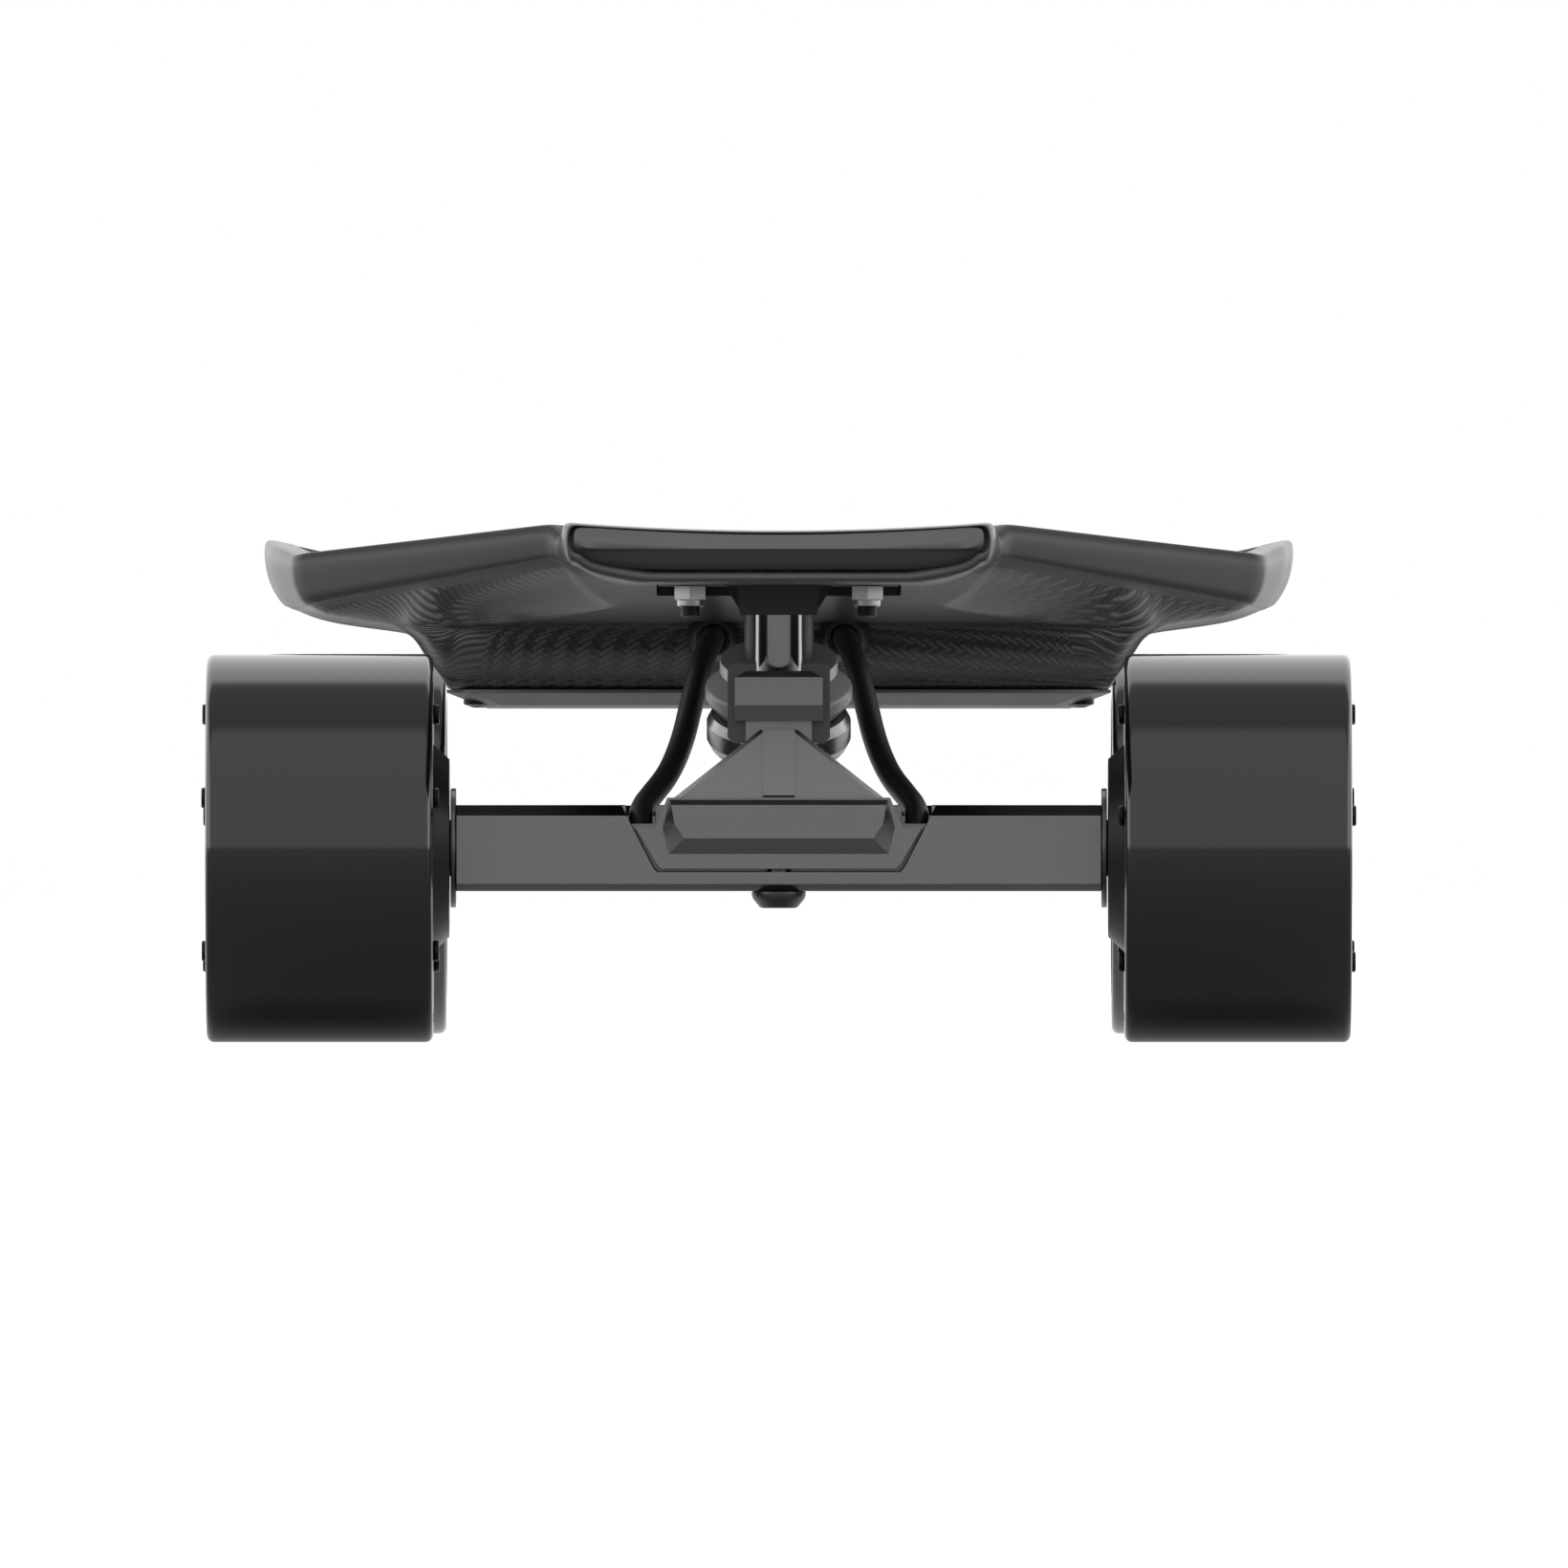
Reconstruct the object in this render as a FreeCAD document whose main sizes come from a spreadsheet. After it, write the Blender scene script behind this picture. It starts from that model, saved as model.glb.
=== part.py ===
"""Electric skateboard with a dropped composite deck, traditional-kingpin trucks and rear hub motors.

The board runs along Y, stands on Z = 0 and is centred on X = 0, Y = 0. The driven rear truck is at
the -Y end. All lengths are millimetres. Every size lives in the sheet called Sizes.

A truck is drawn in its own frame: X across the board, Y inboard towards the middle of the board,
Z up from the ground, with the axle over the frame's origin. The front truck's frame is the rear
one's turned half a turn about Z.
"""
import FreeCAD, Part
import math
import os
import re
import Sketcher

doc = FreeCAD.newDocument("ElectricSkateboard")
SUBPARTS = []
SHARED = {}

# ---------------------------------------------------------------- driving dimensions

SIZES = {
    # board and stance
    "wheelbase": 730.0,
    "grip_thickness": 0.8,
    "grip_margin": 7.0,
    "rim_land": 4.6,
    "rim_round": 1.4,
    "skirt_corner": 1.5,
    # wheels
    "wheel_diameter": 100.0,
    "wheel_width": 58.4,
    "wheel_centre": 118.2,
    "tyre_wall": 10.0,
    "tyre_edge_radius": 2.0,
    "hub_recess": 0.5,
    "rotor_wall": 8.5,
    "end_wall": 4.0,
    "nose_cone_length": 4.2,
    "nose_cone_base": 53.4,
    "nose_cone_tip": 45.8,
    "cover_screw_inset": 5.5,
    "cover_screw_count": 5.0,
    "cover_screw_head": 5.3,
    "cover_screw_rise": 1.6,
    "cover_screw_shank": 3.0,
    "cover_screw_reach": 6.0,
    "bearing_outer": 28.0,
    "bearing_width": 8.0,
    "bearing_wall": 3.0,
    "bearing_proud": 1.8,
    "nut_pocket": 24.0,
    "nut_pocket_depth": 8.0,
    "pocket_web": 2.0,
    "magnet_thickness": 2.0,
    "magnet_overhang": 1.0,
    "air_gap": 0.8,
    "stator_width": 34.0,
    "spoke_count": 5.0,
    "spoke_window": 14.0,
    "core_wall": 5.0,
    "core_flare": 1.5,
    "disc_edge": 5.0,
    "disc_foot": 7.0,
    # axle
    "axle_diameter": 12.0,
    "axle_end_inset": 4.5,
    "axle_nut_across": 17.0,
    "axle_nut_height": 5.0,
    "nut_collar": 0.8,
    "nut_gap": 0.4,
    "motor_spacer": 30.8,
    "free_spacer": 18.0,
    "spacer_wall": 1.2,
    "collar_room": 1.6,
    "axle_room": 1.2,
    "running_gap": 0.3,
    "bore_clearance": 0.05,
    # hanger beam
    "beam_half_length": 83.1,
    "beam_bottom": 38.9,
    "beam_top": 61.1,
    "beam_depth": 32.0,
    "beam_top_chamfer": 2.7,
    "beam_bottom_chamfer": 1.7,
    "pocket_depth": 9.5,
    "pocket_top_half": 40.6,
    "pocket_bottom_half": 32.4,
    "pocket_bottom": 43.8,
    "pocket_groove": 0.9,
    "pocket_corner": 1.3,
    "cable_slot_inner": 31.8,
    "cable_slot_outer": 39.4,
    "cable_slot_floor": 56.4,
    "cable_well_floor": 48.4,
    "cable_well_start": 7.2,
    "yoke_screw_place": 10.0,
    "yoke_screw_diameter": 6.0,
    "yoke_screw_length": 16.0,
    "yoke_screw_head": 14.2,
    "yoke_screw_rise": 4.4,
    "yoke_screw_key": 5.8,
    # yoke
    "key_setback": 0.6,
    "key_ear_inset": 2.6,
    "plate_bevel_lean": 1.6,
    "plate_flat_waist": 0.9,
    "bridge_inset": 3.0,
    "gusset_foot_set": 1.0,
    "gusset_head_set": 4.0,
    "neck_bite": 2.0,
    "neck_throat": 6.0,
    "neck_shoulder": 5.0,
    "bushing_room": 1.2,
    "plate_flange_top": 55.2,
    "plate_flat_bottom": 52.5,
    "plate_bevel_bottom": 48.5,
    "plate_flat_top_half": 27.7,
    "plate_flat_low_half": 24.3,
    "plate_bevel_half": 29.9,
    "plate_rise": 2.2,
    "bridge_top": 63.0,
    "bridge_top_half": 28.7,
    "gusset_top": -43.1,
    "gusset_top_half": 4.9,
    "gusset_foot_depth": 11.0,
    "gusset_head_depth": 6.0,
    "gusset_bevel": 1.6,
    "rib_half": 4.1,
    "rib_rise": 1.4,
    "block_half": 11.3,
    "block_bottom": -40.7,
    "block_top": -27.9,
    "block_front": 13.6,
    "block_back": 4.6,
    "block_chamfer": 1.6,
    "block_low_bevel": 4.0,
    "block_corner": 3.0,
    "shield_half": 13.2,
    "shield_bottom": -46.5,
    "shield_top": -26.0,
    "shield_thickness": 4.0,
    "shield_corner": 1.5,
    "ring_inset": 30.0,
    "ring_height": 80.8,
    "ring_diameter": 37.2,
    "ring_thickness": 9.2,
    "ring_hole": 17.0,
    "ring_edge": 1.2,
    "arm_half": 8.5,
    # pivot
    "pivot_outset": 12.0,
    "pivot_height": -10.5,
    "pivot_tilt": 25.0,
    "pivot_diameter": 12.5,
    "pivot_length": 24.0,
    "pivot_clearance": 0.15,
    "cup_wall": 2.0,
    "cup_flare": 1.7,
    "cup_length": 14.0,
    # kingpin stack
    "kingpin_tilt": 22.0,
    "kingpin_diameter": 9.5,
    "bushing_height": 12.5,
    "lower_bushing_height": 11.0,
    "bushing_waist": 30.5,
    "bushing_belly": 38.0,
    "bushing_end": 27.0,
    "bushing_gap": 0.2,
    "washer_diameter": 30.4,
    "washer_thickness": 2.0,
    "washer_lip": 1.4,
    "kingpin_nut_across": 14.3,
    "kingpin_nut_height": 9.0,
    "kingpin_head": 15.0,
    "kingpin_head_height": 4.0,
    "kingpin_sink": 8.2,
    "kingpin_end": 3.0,
    "kingpin_boss": 18.0,
    # baseplate
    "mount_height": 123.5,
    "baseplate_thickness": 6.0,
    "baseplate_half_width": 31.0,
    "baseplate_outboard": 33.0,
    "baseplate_inboard": 38.0,
    "baseplate_fit": 0.5,
    "boss_bottom": -13.5,
    "boss_half_low": 9.9,
    "boss_half_high": 10.8,
    "boss_outboard": 25.0,
    "boss_inboard": 1.0,
    "web_half": 14.6,
    "web_place": 6.0,
    "web_rise": 1.2,
    "web_thickness": 3.0,
    "bolt_half_width": 22.8,
    "outboard_bolt_distance": 24.0,
    "inboard_bolt_distance": 30.0,
    "deck_bolt": 4.8,
    "deck_nut_across": 8.0,
    "deck_nut_height": 5.2,
    "bolt_end_length": 2.6,
    "bolt_head": 9.4,
    "bolt_head_depth": 2.8,
    "bolt_head_sink": 0.6,
    "nut_collar_rise": 1.6,
    "nut_collar_step": 1.2,
    "hole_room": 0.1,
    "grip_ring": 1.0,
    "cut_over": 1.0,
    "deck_cut": 20.0,
    # hull under the deck
    "hull_half_length": 275.0,
    "hull_roof": -12.5,
    "hull_shoulder": -16.5,
    "hull_shoulder_half": 92.2,
    "hull_roof_half": 62.2,
    "hull_waist": -23.0,
    "hull_chine": -29.5,
    "hull_chine_half": 87.0,
    "hull_chine_edge": 1.0,
    "hull_floor": -32.5,
    "hull_floor_half": 86.0,
    "hull_undercut": 7.0,
    "hull_wall": 12.0,
    "flare_half_length": 236.0,
    "flare_reach": 11.8,
    "flare_rise": 6.7,
    "flare_lip": 1.5,
    "cavity_roof": -13.5,
    "cover_thickness": 3.3,
    "cover_chamfer": 8.5,
    "gasket_thickness": 0.8,
    "belly_screw_pitch": 85.0,
    "belly_screw_inset": 7.5,
    "belly_screw_head": 6.4,
    "belly_screw_height": 1.9,
    "belly_screw_web": 1.2,
    "belly_screw_length": 8.0,
    "battery_half_length": 190.0,
    "battery_half_width": 70.0,
    "battery_height": 17.0,
    "controller_length": 74.0,
    "controller_half_width": 60.0,
    "controller_height": 15.0,
    "inside_gap": 4.0,
    # side ports
    "port_face": 84.0,
    "port_height": -26.0,
    "port_recess_height": 14.0,
    "port_recess_length": 66.0,
    "port_recess_place": 130.0,
    "button_diameter": 10.0,
    "button_rise": 2.0,
    "button_round": 0.6,
    "button_lip": 2.0,
    "button_place": 148.0,
    "bezel_diameter": 13.0,
    "bezel_thickness": 1.0,
    "socket_diameter": 11.0,
    "socket_bore": 5.6,
    "socket_place": 112.0,
    "socket_length": 9.0,
    "socket_flange": 0.6,
    "socket_floor": 1.0,
    "cap_diameter": 13.0,
    "cap_thickness": 2.2,
    "cap_round": 0.6,
    "cap_hinge": 8.4,
    "cap_pin": 2.4,
    "ear_wall": 1.0,
    "ear_half": 2.5,
    "ear_inset": 0.2,
    "pin_half": 4.8,
    "lug_wall": 0.7,
    # end bumpers
    "bumper_rim": 1.1,
    "bumper_low_rim": 2.9,
    "bumper_socket": 8.0,
    "bumper_proud": 3.0,
    "bumper_slope": 3.6,
    "bumper_fit": 0.1,
    # motor cables
    "cable_diameter": 6.2,
    "cable_tuck": 0.5,
    "cable_end_gap": 1.2,
    "cable_lead_in": 1.0,
    "cable_run_up": 7.0,
    "cable_rise": 2.5,
    "gland_diameter": 13.0,
    "gland_length": 7.0,
    "gland_height": -19.0,
    "gland_half_spacing": 17.0,
    "gland_step": 2.0,
    "gland_taper": 3.2,
    "cable_clearance": 0.1,
}

# Cross-sections of the deck, from the tip of the board to its middle: distance from the middle,
# half width, height of the top edge, dish of the top, height of the side under the rounded edge,
# inset and height of the lower side corner, half width and height of the flat underside.
# Heights are from the mounting face.
STATION_MEASURES = ("at", "half", "edge", "dish", "side", "tuck", "skirt", "flat", "under")
STATIONS = {
    "tip": (482.0, 54.5, 9.4, 1.9, 5.9, 2.4, -0.7, 34.0, -5.2),
    "round": (479.0, 55.3, 9.8, 2.0, 6.3, 2.8, -1.3, 37.0, -5.6),
    "nose": (470.0, 55.8, 10.0, 2.1, 6.5, 3.6, -1.9, 40.0, -5.8),
    "throat": (314.0, 56.8, 8.5, 1.2, 5.3, 3.6, -1.9, 40.0, -5.8),
    "neck": (303.0, 62.6, 10.0, 3.0, 6.7, 2.6, 0.1, 44.0, -6.9),
    "corner": (256.0, 118.0, 2.8, 5.4, -1.1, 4.6, -10.9, 88.0, -15.7),
    "shoulder": (244.0, 124.3, 2.5, 6.6, -1.3, 4.8, -11.9, 93.0, -16.5),
    "flank": (206.0, 130.2, 5.1, 9.0, 1.7, 5.6, -11.9, 95.0, -16.5),
    "rail": (130.0, 132.2, 6.5, 10.6, 3.3, 6.6, -11.5, 97.0, -16.5),
    "middle": (40.0, 132.6, 6.9, 11.0, 3.5, 7.0, -11.3, 98.0, -16.5),
}
for station, measures in STATIONS.items():
    for measure, size in zip(STATION_MEASURES, measures):
        SIZES[f"{station}_{measure}"] = size

# These heights are given from the deck's mounting face, upwards, so that the deck, the hull and the
# head of each truck keep together.
FROM_MOUNT = {"pivot_height", "boss_bottom", "gusset_top", "block_bottom", "block_top", "shield_bottom",
              "shield_top", "hull_roof", "hull_shoulder", "hull_waist", "hull_chine", "hull_floor",
              "cavity_roof", "port_height", "gland_height"}
for station in STATIONS:
    FROM_MOUNT |= {f"{station}_{measure}" for measure in ("edge", "side", "skirt", "under")}

sheet = doc.addObject("Spreadsheet::Sheet", "Sizes")
for row, (alias, size) in enumerate(SIZES.items(), start=1):
    sheet.set(f"A{row}", alias)
    sheet.set(f"B{row}", str(size))
    sheet.setAlias(f"B{row}", alias)
doc.recompute()

# Places worked out from the sheet, as expressions.
AXLE_HEIGHT = "(wheel_diameter / 2)"
WHEEL_INNER = "(wheel_centre - wheel_width / 2)"
MOUNT_UNDERSIDE = "(mount_height - baseplate_thickness)"
COVER_TOP = "(hull_floor - gasket_thickness)"
COVER_BOTTOM = "(hull_floor - gasket_thickness - cover_thickness)"
SHELL_RADIUS = "(wheel_diameter / 2 - tyre_wall)"
BEARING_RADIUS = "(bearing_outer / 2)"
INNER_FACE = "(-wheel_width / 2)"
OUTER_FACE = "(wheel_width / 2 - hub_recess)"
STACK_TOP = "(ring_thickness / 2 + bushing_gap + bushing_height)"
STACK_BOTTOM = "(ring_thickness / 2 + bushing_gap + lower_bushing_height)"
KINGPIN_HEAD = "((mount_height - kingpin_sink - ring_height) / cos(kingpin_tilt))"
BOLT_HEAD_SEAT = "(throat_edge - throat_dish - bolt_head_depth)"
CAP_SEAT = "(socket_flange + running_gap)"
HULL_END = "(hull_half_length - hull_undercut)"
CAVITY_END = "(hull_half_length - hull_undercut - hull_wall)"


# ---------------------------------------------------------------- helpers

def sized(text):
    """The text with every size named in full, as an expression of the document."""
    def full(word):
        name = word[0]
        if name in FROM_MOUNT:
            return f"(Sizes.mount_height + Sizes.{name})"
        return f"Sizes.{name}" if name in SIZES else name
    return re.sub(r"[a-z_]+", full, text)


def number(text):
    return float(sheet.evalExpression(sized(text)))


def bind(thing, **bound):
    for name, text in bound.items():
        thing.setExpression(name.replace("__", "."), sized(text))
    return thing


def shifted(x="0", y="0", z="0", axis="1; 0; 0", angle="0"):
    """A placement at x, y, z and turned by the angle about the axis, as an expression."""
    return (f"create(<<placement>>; create(<<vector>>; {x}; {y}; {z}); "
            f"create(<<rotation>>; create(<<vector>>; {axis}); {angle}))")


def place(thing, *frames):
    """Put the thing in the frames' product. A frame is a document frame's name or a shifted()."""
    product = " * ".join(f if f.startswith("create") else f"{f}.Placement" for f in frames)
    thing.setExpression("Placement", sized(product))
    return thing


def named(thing, label):
    """Keep the thing as the sub-part of that name."""
    thing.Label = label
    SUBPARTS.append(thing)
    return thing


def shared(label, *pieces):
    """Like pieces of both trucks that are fixed to the deck: separate solids of one sub-part."""
    SHARED.setdefault(label, []).extend(pieces)


def body(name):
    return doc.addObject("PartDesign::Body", name)


def sketch(owner, name, plane, height="0"):
    """A sketch on one of the body's origin planes, moved along the plane's normal."""
    drawing = owner.newObject("Sketcher::SketchObject", name)
    support = next(f for f in owner.Origin.OriginFeatures if f.Role == plane)
    drawing.AttachmentSupport = [(support, "")]
    drawing.MapMode = "FlatFace"
    return bind(drawing, AttachmentOffset__Base__z=height)


def pin_point(drawing, geometry, end, x, y):
    """Fix a point of the sketch at distances from its origin."""
    for kind, text in (("DistanceX", x), ("DistanceY", y)):
        rule = drawing.addConstraint(Sketcher.Constraint(kind, -1, 1, geometry, end, number(text)))
        drawing.setExpression(f"Constraints[{rule}]", sized(text))


def outline(drawing, corners):
    """A closed loop of straight lines through the corners, each a pair of expressions."""
    first = drawing.GeometryCount
    spots = [FreeCAD.Vector(number(x), number(y), 0) for x, y in corners]
    lines = [Part.LineSegment(spot, spots[(i + 1) % len(spots)]) for i, spot in enumerate(spots)]
    drawing.addGeometry(lines, False)
    for i, (x, y) in enumerate(corners):
        follower = first + (i + 1) % len(corners)
        drawing.addConstraint(Sketcher.Constraint("Coincident", first + i, 2, follower, 1))
        pin_point(drawing, first + i, 1, x, y)
    return drawing


def mirrored(half):
    """The corners of a right half, and their mirror image in reverse."""
    return half + [(f"-({x})", y) for x, y in reversed(half)]


def rectangle(drawing, left, right, low, high):
    return outline(drawing, [(left, low), (right, low), (right, high), (left, high)])


def circle(drawing, x, y, diameter):
    centre = FreeCAD.Vector(number(x), number(y), 0)
    ring = drawing.addGeometry(Part.Circle(centre, FreeCAD.Vector(0, 0, 1), number(diameter) / 2), False)
    pin_point(drawing, ring, 3, x, y)
    rule = drawing.addConstraint(Sketcher.Constraint("Diameter", ring, number(diameter)))
    drawing.setExpression(f"Constraints[{rule}]", sized(diameter))
    return drawing


def feature(owner, kind, name, profile, **bound):
    made = owner.newObject(f"PartDesign::{kind}", name)
    made.Profile = profile
    return bind(made, **bound)


def pad(owner, name, profile, length, both_ways=False, backwards=False):
    made = feature(owner, "Pad", name, profile, Length=length)
    made.SideType = "Symmetric" if both_ways else "One side"
    made.Reversed = backwards
    return made


def pocket(owner, name, profile, length=None, both_ways=False, backwards=False):
    """A cut of that length, or through all the body where none is given."""
    made = owner.newObject("PartDesign::Pocket", name)
    made.Profile = profile
    if length:
        bind(made, Length=length)
    else:
        made.Type = "ThroughAll"
    made.SideType = "Symmetric" if both_ways else "One side"
    made.Reversed = backwards
    return made


def revolve(owner, name, profile, axis="H_Axis", kind="Revolution"):
    made = owner.newObject(f"PartDesign::{kind}", name)
    made.Profile = profile
    made.ReferenceAxis = (profile, [axis])
    made.Angle = 360.0
    return made


def polar(owner, name, original, count, axis_role="X_Axis"):
    made = owner.newObject("PartDesign::PolarPattern", name)
    made.Originals = [original]
    made.Axis = (next(f for f in owner.Origin.OriginFeatures if f.Role == axis_role), [""])
    made.Angle = 360.0
    bind(made, Occurrences=count)
    owner.Tip = made
    return made


def turned_body(name, corners, plane="XZ_Plane", axis="H_Axis"):
    """A body turned from one closed outline about a sketch axis."""
    made = body(name)
    revolve(made, f"{name}_turned", outline(sketch(made, f"{name}_profile", plane), corners), axis)
    return made


def prism(name, corners, plane, start, length):
    """A body padded from one outline on a plane moved to start."""
    made = body(name)
    pad(made, f"{name}_pad", outline(sketch(made, f"{name}_outline", plane, start), corners), length)
    return made


def cylinder(name, diameter, length):
    return bind(doc.addObject("Part::Cylinder", name), Radius=f"({diameter}) / 2", Height=length)


def hexagon(name, across_flats, height):
    made = doc.addObject("Part::Prism", name)
    made.Polygon = 6
    return bind(made, Circumradius=f"({across_flats}) / sqrt(3)", Height=height)


def fuse(name, pieces):
    made = doc.addObject("Part::MultiFuse", name)
    made.Shapes = pieces
    made.Refine = True
    return made


def cut(name, base, tool):
    made = doc.addObject("Part::Cut", name)
    made.Base = base
    made.Tool = tool
    return made


def common(name, base, tool):
    made = doc.addObject("Part::MultiCommon", name)
    made.Shapes = [base, tool]
    return made


def group(name, pieces):
    """Several separate solids of one sub-part."""
    made = doc.addObject("Part::Compound", name)
    made.Links = pieces
    return made


def frame(name, *frames):
    """A named placement that other pieces are placed from."""
    made = doc.addObject("App::FeaturePython", name)
    made.addProperty("App::PropertyPlacement", "Placement")
    return place(made, *frames)


# ---------------------------------------------------------------- deck

def deck_section(name, station, side):
    """One cross-section of the deck: a dished top arc over straight rails and a flat underside."""
    s = f"{station}_"
    half = [
        (f"{s}flat", f"{s}under"),
        (f"{s}half - 1.5 * {s}tuck - skirt_corner", f"{s}skirt - ({s}skirt - {s}under) / 3"),
        (f"{s}half - {s}tuck", f"{s}skirt"),
        (f"{s}half - {s}tuck / 6", f"{s}side - ({s}side - {s}skirt) * 0.55"),
        (f"{s}half", f"{s}side"),
        (f"{s}half - rim_round", f"{s}edge - ({s}edge - {s}side) * 0.3"),
        (f"{s}half - rim_land", f"{s}edge"),
    ]
    spots = mirrored(half)
    points = [FreeCAD.Vector(number(x), number(z), 0) for x, z in spots]
    span, dish = f"({s}half - rim_land)", f"{s}dish"
    radius = f"({span} * {span} + {dish} * {dish}) / (2 * {dish})"
    centre = FreeCAD.Vector(0, number(f"{s}edge - {dish} + {radius}"), 0)
    reach = math.asin(number(span) / number(radius))
    dish_arc = Part.ArcOfCircle(Part.Circle(centre, FreeCAD.Vector(0, 0, 1), number(radius)),
                                1.5 * math.pi - reach, 1.5 * math.pi + reach)

    drawing = doc.addObject("Sketcher::SketchObject", name)
    top, count = len(half) - 1, len(spots)
    for i in range(count):
        line = Part.LineSegment(points[i], points[(i + 1) % count])
        drawing.addGeometry(dish_arc if i == top else line, False)
    for i, (x, z) in enumerate(spots):
        pin_point(drawing, i, 2 if i == top else 1, x, z)
    for i in range(count):
        end = (i + 1) % count
        leaving, arriving = (1 if i == top else 2), (2 if end == top else 1)
        drawing.addConstraint(Sketcher.Constraint("Coincident", i, leaving, end, arriving))
    rule = drawing.addConstraint(Sketcher.Constraint("Radius", top, number(radius)))
    drawing.setExpression(f"Constraints[{rule}]", sized(radius))
    return place(drawing, shifted(y=f"{side} * {s}at", angle="90"))


def make_deck():
    names = list(STATIONS)
    sections = [deck_section(f"rear_{n}_section", n, "-1") for n in names]
    sections += [deck_section(f"front_{n}_section", n, "1") for n in reversed(names)]

    blank = doc.addObject("Part::Loft", "deck_blank")
    blank.Sections = sections
    blank.Solid = True
    blank.Ruled = True

    hull = make_hull()
    cavity = prism("cavity", mirrored([
        ("hull_floor_half - hull_wall", "hull_floor - cut_over"),
        ("hull_floor_half - hull_wall", "cavity_roof"),
    ]), "XZ_Plane", f"-{CAVITY_END}", f"2 * {CAVITY_END}")
    flare = prism("hull_flare", mirrored([
        ("hull_shoulder_half", "hull_waist"),
        ("hull_shoulder_half + flare_reach * 0.06", "hull_waist + flare_rise * 0.32"),
        ("hull_shoulder_half + flare_reach * 0.24", "hull_waist + flare_rise * 0.62"),
        ("hull_shoulder_half + flare_reach * 0.52", "hull_waist + flare_rise * 0.83"),
        ("hull_shoulder_half + flare_reach", "hull_waist + flare_rise"),
        ("hull_shoulder_half + flare_reach", "hull_waist + flare_rise + flare_lip"),
    ]), "XZ_Plane", "-flare_half_length", "2 * flare_half_length")

    shell = cut("deck_hollowed", fuse("deck_outer", [blank, hull, flare]), cavity)
    tools = [port_recess()] + port_holes() + belly_screw_holes() + gland_holes()
    for end, turn in (("rear", "0"), ("front", "180")):
        tools += [bumper(end, turn, "socket"), truck_seat(end)] + deck_bolt_holes(end)
    named(cut("deck_cut", shell, fuse("deck_tools", tools)), "deck_shell")

    lifted = doc.addObject("Part::Loft", "grip_blank")
    lifted.Sections = sections
    lifted.Solid = True
    lifted.Ruled = True
    place(lifted, shifted(z="grip_thickness"))
    skin = cut("grip_skin", lifted, blank)
    sheet_blank = body("grip_outline")
    edge = []
    for station in names[2:]:
        edge.append((f"{station}_half - grip_margin", f"-{station}_at"))
    edge += [(x, y[1:]) for x, y in reversed(edge)]
    drawing = outline(sketch(sheet_blank, "grip_edge", "XY_Plane", "middle_edge - 1.5 * middle_dish"),
                      mirrored(edge))
    pad(sheet_blank, "grip_prism", drawing, "3 * middle_dish")
    trimmed = common("grip_trimmed", skin, sheet_blank)
    heads = [t for end in ("rear", "front") for t in bolt_set(end, "grip_hole", "bolt_head + grip_ring",
                                                              "mount_height", "deck_cut")]
    named(cut("grip_sheet", trimmed, group("grip_holes", heads)), "grip_tape")

    bumpers = [bumper(end, turn, "block") for end, turn in (("rear", "0"), ("front", "180"))]
    named(group("bumper_pair", bumpers), "end_bumpers")


def make_hull():
    hull = body("hull_blank")
    section = outline(sketch(hull, "hull_section", "XZ_Plane"), mirrored([
        ("hull_floor_half", "hull_floor"),
        ("hull_floor_half", "hull_floor + hull_chine_edge"),
        ("hull_chine_half", "hull_chine + hull_chine_edge"),
        ("hull_shoulder_half", "hull_waist"),
        ("hull_shoulder_half", "hull_shoulder"),
        ("hull_roof_half", "hull_roof"),
    ]))
    pad(hull, "hull_pad", section, "2 * hull_half_length", both_ways=True)
    for side in ("", "-"):
        far = f"{side}(hull_half_length + hull_wall)"
        ends = outline(sketch(hull, f"hull_end{len(side)}", "YZ_Plane"), [
            (far, "hull_floor - cut_over"),
            (far, "hull_waist"),
            (f"{side}hull_half_length", "hull_waist"),
            (f"{side}{HULL_END}", "hull_chine"),
            (f"{side}{HULL_END}", "hull_floor - cut_over"),
        ])
        pocket(hull, f"hull_undercut{len(side)}", ends, both_ways=True)
    return hull


def truck_seat(end):
    """The recess that a baseplate sits in, with a little room round it."""
    made = body(f"{end}_seat")
    drawing = rectangle(sketch(made, f"{end}_seat_outline", "XY_Plane", "mount_height - deck_cut"),
                        "-baseplate_half_width - baseplate_fit", "baseplate_half_width + baseplate_fit",
                        "-baseplate_outboard - baseplate_fit", "baseplate_inboard + baseplate_fit")
    pad(made, f"{end}_seat_pad", drawing, "deck_cut")
    return place(made, f"{end}_truck")


def bolt_set(end, name, diameter, bottom, length):
    """Four upright cylinders at a truck's deck bolts."""
    made = []
    for i, x in enumerate(("bolt_half_width", "-bolt_half_width")):
        for k, y in enumerate(("-outboard_bolt_distance", "inboard_bolt_distance")):
            rod = cylinder(f"{end}_{name}_{2 * i + k}", diameter, length)
            made.append(place(rod, f"{end}_truck", shifted(x, y, bottom)))
    return made


def deck_bolt_holes(end):
    return (bolt_set(end, "bolt_hole", "deck_bolt + 2 * hole_room", "mount_height - cut_over", "deck_cut")
            + bolt_set(end, "head_hole", "bolt_head + 4 * hole_room", BOLT_HEAD_SEAT, "deck_cut / 2"))


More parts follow.
